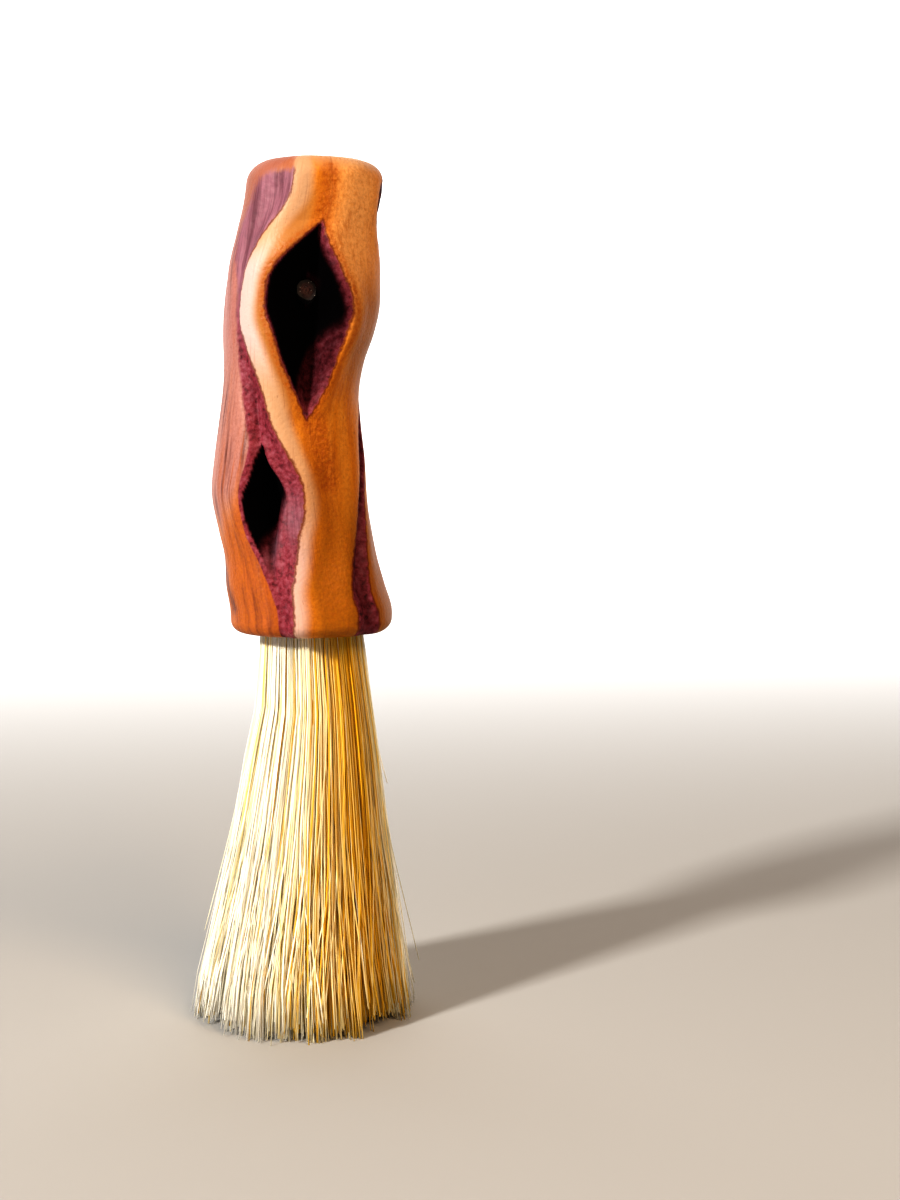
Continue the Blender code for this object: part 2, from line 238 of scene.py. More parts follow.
def bell(away: Array, width: float | Array) -> Array:
    """Falls smoothly from 1 where away is 0 to about a third where it is the width."""
    return np.exp(-((away / width) ** 2))


def band(value: Array, rise: float, full: float, fall: float, gone: float) -> Array:
    """Rises smoothly from 0 to 1 between rise and full, and falls back between fall and gone."""
    return soft_step(value, rise, full) * (1 - soft_step(value, fall, gone))


def wrapped(degrees: Array) -> Array:
    """Brings an angle to between -180 and 180 degrees."""
    return (degrees + 180) % 360 - 180


def lumps(places: Array, size: tuple[float, float, float], seed: float) -> Array:
    """Reads smooth noise at many places.

    Args:
        places: an array of one row of three for each place.
        size: how wide a lump is along each of the three directions.
        seed: shifts the pattern, so that two of them differ.

    Returns:
        A number from about -1 to 1 for each place.
    """
    scaled = places / np.array(size) + seed
    return np.fromiter((noise.noise(Vector(p)) for p in scaled), float, len(scaled))


def along_rows(rows: Rows, column: int, share: Array) -> Array:
    """Reads a column of rows on a smooth line through them.

    Args:
        rows: the rows, with the place along the line first.
        column: the column to read.
        share: where along the line, one number for each place.

    Returns:
        The column's value at each place.
    """
    table = np.array(rows, float)
    x, y = table[:, 0], table[:, column]
    index, last = np.arange(len(x)), len(x) - 1
    before, beyond = np.maximum(index - 1, 0), np.minimum(index + 1, last)
    slopes = (y[beyond] - y[before]) / (x[beyond] - x[before])
    share = np.clip(share, x[0], x[-1])
    i = np.clip(np.searchsorted(x, share), 1, last)
    span = x[i] - x[i - 1]
    t = (share - x[i - 1]) / span
    return (
        (2 * t**3 - 3 * t**2 + 1) * y[i - 1]
        + (t**3 - 2 * t**2 + t) * span * slopes[i - 1]
        + (3 * t**2 - 2 * t**3) * y[i]
        + (t**3 - t**2) * span * slopes[i]
    )


def finish_piece(piece: Piece, material: bpy.types.Material, node: str) -> Piece:
    """Gives a finished piece its material and its body, and hides the solid it stands for.

    Args:
        piece: the piece, with its place in its mesh.
        material: its finish.
        node: the solid that it stands for.

    Returns:
        The same piece.
    """
    piece.data.materials.clear()
    piece.data.materials.append(material)
    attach(piece, "root")
    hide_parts(node)
    log.info("%s: %d points, %d faces", piece.name, len(piece.data.vertices), len(piece.data.polygons))
    return piece


# The stick's own attributes, which say where its colours lie, painted light and shade among them.
# WillowStick's sapwood and heartwood work them out.
STICK_MASKS = (
    "heart_mm", "veil", "pit", "pit_edge", "sleek", "pebbled", "sunny", "toned", "low_orange", "flank",
    "salmon", "amber", "dusky", "dark_streak", "clear", "rust", "rim_tan", "crest", "warm_crest",
    "stain", "dimpled", "end_grain",
)


@dataclass(frozen=True)
class WillowFinish:
    """Peeled diamond willow, carved, sanded and waxed.

    The sapwood is golden with fine grain that runs round each diamond. The heartwood, where the bark
    sank in, is a pebbled maroon with a red line round it. The wax gives a satin gloss. The finest
    grain and the pebbles are drawn coarser than the wood's own, so that they show in a render. Some
    coats are painted light and shade: a paler upper right, a darker lower right, highlights on the
    pale ridge and the flank, near black in the hollows and dark gaps between the pebbles.
    """

    sap_dark: str = "#BC6C10"
    sap_mid: str = "#D28220"
    sap_light: str = "#E29C3E"
    streak: str = "#6E3412"
    # painted light: a paler gold for the upper right of the body, painted as if lit from above
    sunny: str = "#F0B474"
    rust: str = "#9E6450"
    # the pale sapwood of the ridge beside the left strip, painted paler still as a highlight
    crest: str = "#CCB4B0"
    warm_crest: str = "#C09A7A"
    rim_tan: str = "#A6723E"
    # painted shade: a dark orange for the lower right of the body and its right side, which face away from
    # the light
    toned: str = "#985C08"
    flank: str = "#A87472"
    # the flank's pink, lightened in its lower part as a painted highlight on the bulge beside the knot hole
    salmon: str = "#AC7A74"
    flank_streak: str = "#4A1C20"
    low_orange: str = "#AE5E2C"
    stain: str = "#A4560C"
    heart_dark: str = "#24060A"
    heart_mid: str = "#82303C"
    heart_light: str = "#9E5664"
    sleek_dark: str = "#603C48"
    sleek_light: str = "#A07280"
    # near black for the hollows' depths: the dark of old bark and painted shade together
    pit: str = "#040203"
    border: str = "#5E1A0A"
    pebble_mm: float = 1.15
    pebble_height_mm: float = 0.26
    grain_width_mm: float = 0.38
    grain_length_mm: float = 12.0
    roughness: float = 0.46

    def material(self) -> bpy.types.Material:
        """Builds the willow's nodes.

        Returns:
            The material.
        """
        material, node, shader = new_finish(
            "peeled_waxed_diamond_willow", Roughness=self.roughness, IOR=1.5
        )
        place = node("Mapping", {"Vector": node("TexCoord", {}, "Object"), "Scale": (1 / MM,) * 3})
        grain = node("Attribute", {}, "Vector", attribute_name="grain_mm")
        at = {name: node("Attribute", {}, "Fac", attribute_name=name) for name in STICK_MASKS}

        def pattern(width: float, length: float, detail: float, roughness: float = 0.55) -> Socket:
            """Makes noise in round lumps, or in fibres that run along the grain.

            Args:
                width: how wide a lump or a fibre is, in mm.
                length: how long a fibre is, in mm, or 0 for lumps.
                detail: how many finer patterns are added.
                roughness: how strong they are.

            Returns:
                The noise, from 0 to 1.
            """
            size = (width, length, 4 * width) if length else (width,) * 3
            space = {"Vector": grain if length else place, "Scale": tuple(1 / side for side in size)}
            scaled = {"Vector": node("Mapping", space), "Scale": 1.0}
            return node("TexNoise", {**scaled, "Detail": detail, "Roughness": roughness})

        def graded(
            value: Value, low: float, high: float, start: float = 0, end: float = 1, where: Value = 1.0
        ) -> Socket:
            """Turns a pattern into a soft-edged mask that lies on one part of the stick.

            Args:
                value: the pattern.
                low: where the mask is at its start.
                high: where the mask is at its end.
                start: the mask's first strength.
                end: the mask's last strength.
                where: another mask, for the part of the stick.

            Returns:
                The mask.
            """
            limits = {"From Min": low, "From Max": high, "To Min": start, "To Max": end}
            soft = node("MapRange", {"Value": value, **limits}, interpolation_type="SMOOTHSTEP")
            return node("Math", {0: soft, 1: where}, operation="MULTIPLY")

        def coated(below: Value, *coats: tuple[Value, str | Socket]) -> Socket:
            """Lays colours over a first one, each where its mask says.

            Args:
                below: the first colour.
                coats: the mask and the colour of each coat, from the lowest up.

            Returns:
                The colour on top.
            """
            for mask, colour in coats:
                above = linear(colour) if isinstance(colour, str) else colour
                below = node("Mix", {0: mask, 6: below, 7: above}, 2, data_type="RGBA")
            return below

        ragged = node("Math", {0: pattern(1.6, 0, 4, 0.6), 1: 1.5, 2: -0.75}, operation="MULTIPLY_ADD")
        streaky = node("Math", {0: pattern(0.8, 22, 4), 1: 1.3, 2: -0.65}, operation="MULTIPLY_ADD")
        tattered = node("Mix", {0: 0.45, 2: streaky, 3: ragged})
        tattered = node("Math", {0: at["veil"], 1: 1.7, 2: tattered}, operation="MULTIPLY_ADD")
        veil = graded(tattered, 0.35, 1.05, where=graded(at["veil"], 0, 0.2))
        edge_mm = node("Math", {0: at["heart_mm"], 1: ragged}, operation="ADD")
        heart = graded(edge_mm, -0.12, 0.22, where=veil)
        line_mm = node("Math", {0: edge_mm, 1: 0.1}, operation="ADD")
        line_mm = node("Math", {0: line_mm}, operation="ABSOLUTE")
        border = graded(line_mm, 0, 0.6, 0.85, 0, veil)
        pit = node("Math", {0: ragged, 1: at["pit_edge"], 2: at["pit"]}, operation="MULTIPLY_ADD")

        sap = node(
            "ValToRGB",
            {0: pattern(3.2, 60, 3)},
            stops=((0.2, self.sap_dark), (0.5, self.sap_mid), (0.85, self.sap_light)),
        )
        fine = pattern(self.grain_width_mm, self.grain_length_mm, 4)
        dark_streak = node("Math", {0: at["dark_streak"], 1: streaky}, operation="ADD")
        rings = node(
            "TexWave",
            {
                "Vector": grain,
                "Scale": 0.26,
                "Distortion": 1.2,
                "Detail": 2.0,
                "Phase Offset": graded(pattern(40, 60, 0), 0.2, 0.8),
            },
            "Fac",
            bands_direction="Z",
        )
        sap = coated(
            sap,
            (at["sunny"], self.sunny),
            (at["toned"], self.toned),
            (at["low_orange"], self.low_orange),
            (at["flank"], coated(linear(self.flank), (at["salmon"], self.salmon))),
            (graded(pattern(1.3, 30, 4, 0.6), 0.5, 0.68, 0, 0.75, at["amber"]), self.low_orange),
            (graded(pattern(1.9, 26, 5, 0.6), 0.46, 0.72, 0, 0.8, at["dusky"]), self.flank_streak),
            (graded(dark_streak, 0.3, 1.1, 0, 0.9), self.flank_streak),
            (graded(pattern(1.1, 0, 4, 0.62), 0.42, 0.72, 0, 0.4, at["clear"]), self.sap_dark),
            (graded(pattern(0.7, 0, 3, 0.6), 0.4, 0.66, 0, 0.2), self.streak),
            (graded(pattern(3.4, 16, 5, 0.62), 0.53, 0.72, 0, 0.6, at["clear"]), self.stain),
            (at["rust"], self.rust),
            (at["rim_tan"], self.rim_tan),
            (at["crest"], coated(linear(self.crest), (at["warm_crest"], self.warm_crest))),
            (graded(pattern(0.9, 0, 4, 0.65), 0.35, 0.68, 0.45, 1, at["stain"]), self.stain),
            (graded(fine, 0.54, 0.76, 0, 0.3), self.streak),
            (graded(pattern(0.32, 1.8, 1), 0.74, 0.8, 0, 0.55), self.streak),
            (graded(rings, 0.5, 0.95, 0, 0.5, at["end_grain"]), self.streak),
        )

        pebbles = node(
            "TexVoronoi",
            {"Vector": place, "Scale": 1 / self.pebble_mm, "Smoothness": 0.9},
            "Distance",
            feature="SMOOTH_F1",
        )
        wood = node(
            "ValToRGB",
            {0: pattern(1.5, 0, 5, 0.66)},
            stops=((0.26, self.heart_dark), (0.48, self.heart_mid), (0.76, self.heart_light)),
        )
        sleek_streaks = graded(pattern(1.3, 20, 5, 0.6), 0.32, 0.72)
        wood = coated(
            wood,
            # painted shade: the gaps between the pebbles are darkened
            (graded(pebbles, 0.45, 0.9, 0, 0.42), self.heart_dark),
            (at["sleek"], coated(linear(self.sleek_light), (sleek_streaks, self.sleek_dark))),
            # the hollows' depths painted near black: old bark's dark and painted shade
            (pit, self.pit),
        )

        grit = node("Math", {0: pattern(0.5, 0, 3, 0.5), 1: 0.2, 2: 0.35}, operation="MULTIPLY_ADD")
        knobs = node("Math", {0: grit, 1: pebbles}, operation="SUBTRACT")
        bare = node("Math", {0: pit, 1: -0.8, 2: 1.0}, operation="MULTIPLY_ADD")
        bare = node("Math", {0: bare, 1: heart}, operation="MULTIPLY")
        bare = node("Math", {0: bare, 1: at["pebbled"]}, operation="MULTIPLY")
        dimples = node("Math", {0: pattern(0.85, 0, 2, 0.5), 1: at["dimpled"]}, operation="MULTIPLY")
        smooth = node("Math", {0: fine, 1: -0.09, 2: dimples}, operation="MULTIPLY_ADD")
        height = node("Math", {0: knobs, 1: bare, 2: smooth}, operation="MULTIPLY_ADD")
        worn = graded(fine, 0.3, 0.7, self.roughness - 0.04, self.roughness + 0.06)
        worn = node("Math", {0: heart, 1: 0.1, 2: worn}, operation="MULTIPLY_ADD")
        worn = node("Math", {0: pit, 1: 0.4, 2: worn}, operation="MULTIPLY_ADD")
        feed(
            shader,
            {
                "Base Color": coated(sap, (border, self.border), (heart, wood)),
                "Roughness": worn,
                "Specular IOR Level": graded(pit, 0.2, 0.9, 0.22, 0.04),
                "Normal": node(
                    "Bump", {"Height": height, "Distance": self.pebble_height_mm * MM, "Strength": 1.0}
                ),
            },
        )
        return material


@dataclass(frozen=True)
class DeadWoodFinish:
    """Weathered end grain of a dead branch: dull grey maroon, with rings, checks and pale specks.

    Its face is painted darker towards its edge, as shade where the stub sinks into its hollow.
    """

    dark: str = "#100606"
    mid: str = "#381A1A"
    pale: str = "#623C36"
    speck: str = "#B4A8A0"
    ring_mm: float = 0.55
    speck_spacing_mm: float = 0.77

    def material(self) -> bpy.types.Material:
        """Builds the dead wood's nodes.

        Returns:
            The material.
        """
        material, node, shader = new_finish("dead_branch_end_grain", Roughness=0.72, IOR=1.5)
        place = node("TexCoord", {}, "Object")
        across = node("Attribute", {}, "Fac", attribute_name="ring_mm")
        blot = node("TexNoise", {"Vector": place, "Scale": 1 / (0.6 * MM), "Detail": 5.0})
        wobble = node("Math", {0: blot, 1: 0.5, 2: across}, operation="MULTIPLY_ADD")
        rings = node("Math", {0: wobble, 1: 2 * math.pi / self.ring_mm}, operation="MULTIPLY")
        rings = node("Math", {0: rings}, operation="SINE")
        rings = node("MapRange", {"Value": rings, "From Min": -1.0, "To Min": 0.7})
        # painted shade: the face darkens from about 1 mm out to its edge, so that the stub fades into the
        # hollow's dark
        worn = node(
            "MapRange", {"Value": wobble, "From Min": 1.0, "From Max": 2.7, "To Min": 1.0, "To Max": 0.05}
        )
        shade = node("Math", {0: worn, 1: rings}, operation="MULTIPLY")
        shade = node("Math", {0: shade, 1: blot}, operation="MULTIPLY")
        colour = node(
            "ValToRGB", {0: shade}, stops=((0.08, self.dark), (0.3, self.mid), (0.62, self.pale))
        )
        spots = node("TexVoronoi", {"Vector": place, "Scale": 1 / (self.speck_spacing_mm * MM)}, "Distance")
        specks = node(
            "MapRange", {"Value": spots, "From Min": 0.1, "From Max": 0.16, "To Min": 0.8, "To Max": 0.0}
        )
        colour = node("Mix", {0: specks, 6: colour, 7: linear(self.speck)}, 2, data_type="RGBA")
        bump = node("Bump", {"Height": shade, "Distance": 0.15 * MM, "Strength": 1.0})
        feed(shader, {"Base Color": colour, "Normal": bump})
        return material


@dataclass(frozen=True)
class TampicoFinish:
    """Tampico, the stiff fibre of an agave's leaf: pale straw with tan fibres among it.

    Each fibre has its own tone, is a little paler towards its tip, and has a dull waxy sheen.
    """

    pale: str = "#FDFBF2"
    straw: str = "#F6ECC4"
    gold: str = "#EABE42"
    tan: str = "#E2AA1C"
    brown: str = "#8A5A1C"
    mottle_mm: tuple[float, float, float] = (0.5, 0.5, 10.0)
    roughness: float = 0.5

    def material(self) -> bpy.types.Material:
        """Builds the fibre's nodes.

        Returns:
            The material.
        """
        material, node, shader = new_finish(
            "tampico_fibre", Roughness=self.roughness, IOR=1.53, Specular_IOR_Level=0.2
        )
        tone, along = (node("Attribute", {}, "Fac", attribute_name=name) for name in ("tone", "along"))
        scale = tuple(1 / (size * MM) for size in self.mottle_mm)
        mottle = node("Mapping", {"Vector": node("TexCoord", {}, "Object"), "Scale": scale})
        mottle = node("TexNoise", {"Vector": mottle, "Scale": 1.0, "Detail": 3.0})
        shift = node("MapRange", {"Value": mottle, "To Min": -0.1, "To Max": 0.1})
        tone = node("Math", {0: tone, 1: shift}, operation="ADD")
        tone = node("Math", {0: along, 1: -0.06, 2: tone}, operation="MULTIPLY_ADD")
        # the gold and tan stops show mostly where the tuft's tone carries painted shade
        places = (0.12, 0.36, 0.6, 0.84, 1.0)
        colours = (self.pale, self.straw, self.gold, self.tan, self.brown)
        colour = node("ValToRGB", {0: tone}, stops=tuple(zip(places, colours)))
        bump = node("Bump", {"Height": mottle, "Distance": 0.03 * MM, "Strength": 0.6})
        feed(shader, {"Base Color": colour, "Normal": bump})
        return material


@dataclass(frozen=True)
class WaxedCordFinish:
    """Waxed linen cord: tan yarn with a slight shine where the wax fills it."""

    light: str = "#B08A56"
    dark: str = "#6E4E2A"
    yarn_mm: float = 0.18

    def material(self) -> bpy.types.Material:
        """Builds the cord's nodes.

        Returns:
            The material.
        """
        material, node, shader = new_finish("waxed_linen_cord", Roughness=0.55, IOR=1.5, Sheen_Weight=0.2)
        place = node("TexCoord", {}, "Object")
        yarn = node("TexNoise", {"Vector": place, "Scale": 1 / (self.yarn_mm * MM), "Detail": 3.0})
        colour = node("ValToRGB", {0: yarn}, stops=((0.35, self.dark), (0.65, self.light)))
        bump = node("Bump", {"Height": yarn, "Distance": 0.05 * MM})
        feed(shader, {"Base Color": colour, "Normal": bump})
        return material


@dataclass(frozen=True)
class SetGlueFinish:
    """Set wood glue: amber, glossy, with a few small bubbles."""

    amber: str = "#C9963E"
    cloudy: str = "#E6CC8C"
    bubble_spacing_mm: float = 2.0

    def material(self) -> bpy.types.Material:
        """Builds the glue's nodes.

        Returns:
            The material.
        """
        material, node, shader = new_finish(
            "set_wood_glue", Roughness=0.18, IOR=1.48, Subsurface_Weight=0.15
        )
        place = node("TexCoord", {}, "Object")
        cloud = node("TexNoise", {"Vector": place, "Scale": 1 / (4 * MM), "Detail": 4.0})
        colour = node("ValToRGB", {0: cloud}, stops=((0.35, self.amber), (0.7, self.cloudy)))
        bubbles = node(
            "TexVoronoi", {"Vector": place, "Scale": 1 / (self.bubble_spacing_mm * MM)}, "Distance"
        )
        dents = node("MapRange", {"Value": bubbles, "From Max": 0.25})
        bump = node("Bump", {"Height": dents, "Distance": 0.1 * MM})
        feed(shader, {"Base Color": colour, "Normal": bump})
        return material


# The stick's middle line and thickness: share of its length from the lower end, then shares of its
# radius: the middle's place to the right and to the back of the socket's axis, and the radius.
STICK_LINE: Rows = (
    (0.00, 0.00, 0.00, 1.06), (0.05, 0.00, 0.01, 1.07), (0.10, -0.07, 0.02, 1.05),
    (0.16, -0.13, 0.03, 1.01), (0.22, -0.20, 0.04, 1.01), (0.30, -0.28, 0.05, 1.01),
    (0.38, -0.28, 0.04, 0.97), (0.45, -0.27, 0.02, 0.92), (0.52, -0.24, 0.00, 0.89),
    (0.58, -0.19, -0.02, 0.91), (0.64, -0.12, -0.03, 0.97), (0.70, -0.07, -0.03, 1.00),
    (0.78, -0.05, -0.02, 0.98), (0.85, -0.01, 0.00, 0.92), (0.92, 0.07, 0.02, 0.90),
    (1.00, 0.11, 0.03, 0.88),
)


@dataclass(frozen=True)
class HollowForm:
    """How a hollow is cut.

    Each row is a share of the stick's length from its lower end, the hollow's left and right edge in
    degrees from the front, and the share of its full depth there. Slope is how wide its slope is,
    the number after it how dark its floor is painted, from 0 to 1, partly for old bark and partly as
    painted shade, bare_rim how wide the bare rim on its right is, and feather how far its left slope
    runs out past its edge.
    """

    rows: Rows
    depth: float = 1.6 * MM
    slope: float = 3.6 * MM
    bark_and_shade: float = 0.0
    bare_rim: float = 1 * MM
    feather: float = 0.0

    def edges(self, share: Array) -> tuple[Array, Array]:
        """Gives the hollow's left and right edge, in degrees, at shares of the stick's length."""
        return along_rows(self.rows, 1, share), along_rows(self.rows, 2, share)


class Hollow(Enum):
    """The hollows where branches died and the bark sank in."""

    UPPER_DIAMOND = HollowForm(
        (
            (0.455, 15, 15, 0), (0.49, 8, 23, 0.15), (0.53, 0, 31, 0.4), (0.59, -12, 38.5, 0.75),
            (0.64, -20, 42, 0.95), (0.68, -26.5, 40.5, 1), (0.72, -27, 35, 1),
            (0.76, -23.5, 28, 0.85), (0.81, -8.5, 18.5, 0.45), (0.862, 11.5, 11.5, 0),
        ),
        depth=10.5 * MM, slope=8.2 * MM, bark_and_shade=1.0, bare_rim=0.9 * MM,
    )
    KNOT_HOLE = HollowForm(
        (
            (0.11, -23, -23, 0), (0.16, -28, -19, 0.15), (0.20, -33, -14, 0.45),
            (0.24, -36.5, -8, 0.9), (0.27, -37, -3, 1), (0.30, -36, -1, 1), (0.33, -31, -5, 0.95),
            (0.37, -27, -16, 0.6), (0.41, -22, -22, 0),
        ),
        depth=8.5 * MM, slope=4.8 * MM, bark_and_shade=1.0, bare_rim=0.1 * MM,
    )
    LEFT_STRIP = HollowForm(
        (
            (-0.01, -23, -13, 0.4), (0.09, -25, -10, 0.6), (0.14, -29, -5, 0.9), (0.21, -37, 2, 1.2),
            (0.26, -38.5, 9, 1.35), (0.30, -38, 11, 1.4), (0.34, -35, 8, 1.3), (0.40, -29, -4, 1.1),
            (0.44, -33, -12, 1), (0.52, -43, -24, 1), (0.59, -51, -38, 1), (0.66, -56.5, -50, 0.8),
            (0.72, -57, -50, 0.8), (0.77, -60, -46, 0.9), (0.83, -59, -36, 0.9),
            (0.90, -51, -20, 0.7), (0.96, -42, -17, 0.3), (1.00, -30, -19, 0),
        ),
        bare_rim=0.0, feather=2.6 * MM,
    )
    RIGHT_STRIP = HollowForm(
        (
            (-0.01, 35, 57, 0.4), (0.09, 34, 51, 0.8), (0.15, 40, 56, 1), (0.21, 49, 62, 1),
            (0.27, 58, 69, 1), (0.33, 66, 78, 1), (0.41, 71, 88, 0.9), (0.50, 86, 86, 0),
        ),
        bark_and_shade=0.6,
    )
    RIGHT_FLANK_DIAMOND = HollowForm(
        (
            (0.74, 95, 95, 0), (0.80, 83, 110, 0.3), (0.86, 71, 118, 0.9), (0.90, 66, 112, 0.9),
            (0.94, 69, 105, 0.5), (1.00, 88, 94, 0),
        ),
        bark_and_shade=0.6,
    )
    BACK_LEFT_DIAMOND = HollowForm(
        (
            (0.43, -127, -127, 0), (0.50, -140, -116, 0.35), (0.58, -152, -108, 0.8),
            (0.66, -160, -102, 1), (0.72, -158, -106, 0.9), (0.80, -147, -120, 0.45),
            (0.86, -132, -132, 0),
        ),
        depth=6 * MM, slope=8.2 * MM, bark_and_shade=0.85, bare_rim=0.8 * MM,
    )
    BACK_RIGHT_DIAMOND = HollowForm(
        (
            (-0.01, 144, 152, 0.15), (0.10, 140, 158, 0.2), (0.20, 135, 163, 0.45),
            (0.30, 126, 172, 0.9), (0.38, 122, 176, 1), (0.46, 130, 168, 0.8),
            (0.53, 140, 160, 0.4), (0.60, 150, 150, 0),
        ),
        depth=6 * MM, slope=8.2 * MM, bark_and_shade=0.85, bare_rim=0.8 * MM,
    )
    BACK_STRIP = HollowForm(
        (
            (0.66, 178, 178, 0), (0.74, 170, 184, 0.7), (0.83, 164, 188, 1), (0.92, 168, 186, 0.8),
            (1.01, 172, 182, 0.4),
        ),
        bark_and_shade=0.5,
    )


@dataclass(frozen=True)
class CreaseForm:
    """A line along the stick, as points of degrees from the front and mm above the ground.

    Lift is how far it raises the surface, and left and right are its half widths on either side.
    """

    points: Rows
    lift: float
    left: float
    right: float


class Crease(Enum):
    """The stick's ridges and creases."""

    UPPER_VALLEY = CreaseForm(
        ((13.5, 207.5), (12.5, 204), (11.5, 200), (11, 196)), -0.5 * MM, 3.4 * MM, 2.8 * MM
    )
    LOWER_VALLEY = CreaseForm(
        ((16, 151), (24, 147), (28, 140), (31, 135)), -0.4 * MM, 3.6 * MM, 3.6 * MM
    )
    LOWER_HOLLOW = CreaseForm(
        ((31, 135), (30, 125), (22, 112), (16, 104)), -0.2 * MM, 4 * MM, 4 * MM
    )
    PALE_CREST = CreaseForm(
        (
            (-10, 211), (-15, 205), (-23, 197.5), (-34, 191), (-40, 186), (-43, 180), (-43, 175),
            (-40, 170), (-32, 164), (-22, 159.5), (-13, 153), (-3, 146.5), (6, 141), (14, 136),
            (17, 131), (14, 125), (5, 118.5), (-2, 112), (-5, 106), (-6, 99),
        ),
        0.5 * MM, 3.8 * MM, 3.4 * MM,
    )
    KNOT_CREASE = CreaseForm(
        ((-33, 156), (-29, 150), (-26, 146), (-24, 141)), -0.9 * MM, 1 * MM, 1 * MM
    )
    KNOT_OUTLET = CreaseForm(
        ((-23, 112), (-22.5, 107), (-22, 103), (-22, 98)), -0.8 * MM, 1.6 * MM, 1.6 * MM
    )
    LEFT_STREAK = CreaseForm(
        ((-99, 128), (-89, 120), (-79, 112), (-70, 104)), -0.2 * MM, 3.2 * MM, 2.4 * MM
    )


@dataclass(frozen=True)
class Places:
    """Places on the stick: degrees from the front, and share of its length from the lower end."""

    angle: Array
    share: Array


@dataclass
class WillowStick:
    """The handle: a willow stick, thickest near its diamonds, with the tuft's socket in its end."""

    offset: float = 2.2 * MM
    base: float = 97 * MM
    length: float = 115 * MM
    radius: float = 18.81 * MM
    socket_radius: float = 13.36 * MM
    socket_depth: float = 20 * MM
    top_round: float = 5.2 * MM
    bottom_round: float = 3 * MM
    lip_height: float = 1 * MM
    lip_width: float = 3 * MM
    least_slope: float = 0.6 * MM
    widest_slope: float = 8.2 * MM
    strip_depth: float = 1.6 * MM
    heart_feather: float = 40 * MM
    rolled_edge: float = 1.1 * MM
    core_share: float = 0.4
    end_heart: float = 1.5 * MM
    crown: float = 0.5 * MM
    stub_angle: float = 3
    stub_share: float = 0.725
    sides: int = 284
    first_cuts: int = 17
    second_cuts: int = 16
    round_rings: int = 12
    cap_rings: int = 4
    finish: WillowFinish = field(default_factory=WillowFinish)

    def inside(self, hollow: Hollow, at: Places, feather: float = 0.0) -> tuple[Array, Array]:
        """Measures how far places on the stick lie inside a hollow's edge.

        Args:
            hollow: the hollow.
            at: the places.
            feather: how far the left edge is drawn out, with a gentler slope.

        Returns:
            The distance inside the edge, which is negative outside it, and the hollow's half width.
        """
        form, step = hollow.value, 0.01
        left, right = form.edges(at.share)
        spans = zip(form.edges(at.share - step / 2), form.edges(at.share + step / 2))
        left_slant, right_slant = (
            np.hypot(1, np.radians(high - low) * self.radius / (step * self.length)) for low, high in spans
        )
        middle = (left + right) / 2
        angle = middle + wrapped(at.angle - middle)
        half_width = np.radians(right - left) * self.radius / (left_slant + right_slant)
        from_left = np.radians(angle - left) * self.radius / left_slant
        if feather:
            reach = np.maximum(np.minimum(form.slope, half_width), self.least_slope)
            from_left = (from_left + feather) * reach / (reach + feather)
        from_right = np.radians(right - angle) * self.radius / right_slant
        blur = np.maximum(0.25 * half_width, 0.01 * MM)
        within = np.minimum(from_left, from_right)
        within = within - blur * np.log1p(np.exp(-np.abs(from_left - from_right) / blur))
        first, last = form.rows[0][0], form.rows[-1][0]
        past = np.maximum(np.maximum(first - at.share, at.share - last), 0) * self.length
        return np.where(past > 0, -np.hypot(np.minimum(within, 0), past), within), half_width

    def relief(self, hollow: Hollow, at: Places) -> tuple[Array, Array]:
        """Works out how far a hollow, with its raised lip, moves the surface.

        Args:
            hollow: the hollow.
            at: the places.

        Returns:
            The move outwards, and how deep in the hollow each place is, from 0 to 1.
        """
        form = hollow.value
        within, half_width = self.inside(hollow, at, form.feather)
        depth = form.depth * np.maximum(along_rows(form.rows, 3, at.share), 0)
        depth[(at.share < form.rows[0][0]) | (at.share > form.rows[-1][0])] = 0
        t = soft_step(within / np.maximum(np.minimum(form.slope, half_width), self.least_slope), 0, 1)
        lip = self.lip_height * depth / (depth + self.strip_depth)
        lip *= bell(within + self.lip_width / 2, self.lip_width)
        if form.feather:
            lip *= soft_step(at.angle - form.edges(at.share)[0], 0, 8)
        return lip - depth * t, t * depth / form.depth

    def bark_and_shade(self, hollow: Hollow, within: Array, at: Places) -> Array:
        """Works out how dark a hollow's floor is painted: partly the dark of old bark, partly painted shade.

        The painted dark starts nearer to the hollow's left edge, whose wall faces away from the light,
        grows further inside the edge, and stops short of the hollow's lower end.

        Args:
            hollow: the hollow.
            within: how far inside the hollow's edge each place is.
            at: the places.

        Returns:
            A number from 0 to 1.
        """
        form = hollow.value
        left, right = form.edges(at.share)
        across = np.clip((at.angle - left) / np.maximum(right - left, 1e-3), 0, 1)
        side = soft_step(across, 0.35, 0.75)
        start = (0.3 * side - 0.1) * form.bare_rim - 0.25 * MM * (1 - side)
        width = (0.9 * MM + (0.4 * MM + 0.7 * form.bare_rim) * side) * (form.slope / self.widest_slope) ** 2
        lined = soft_step((within - start) / width, 0, 1)
        run = form.rows[-1][0] - form.rows[0][0]
        low = form.rows[0][0] + run * (-0.08 + 0.42 * across + 0.12 * (form.slope < self.widest_slope))
        lined = lined * soft_step(at.share, low, low + run * 0.24)
        # painted shade: the floor grows darker the further it lies inside the hollow's edge
        shaded = 0.25 * soft_step(within, -0.2 * MM, 0.4 * MM) + 0.5 * soft_step(within, 0.2 * MM, 2.2 * MM)
        return form.bark_and_shade * np.maximum(lined, shaded)

    def end_inset(self, share: Array) -> Array:
        """Works out how far the sanded round at either end draws the stick in.

        Args:
            share: share of the stick's length.

        Returns:
            The move inwards.
        """
        inset = np.zeros_like(share)
        for from_end, radius in ((share, self.bottom_round), (1 - share, self.top_round)):
            height = np.minimum(from_end * self.length, radius)
            inset += radius - np.sqrt(np.maximum(radius**2 - (radius - height) ** 2, 0))
        return inset

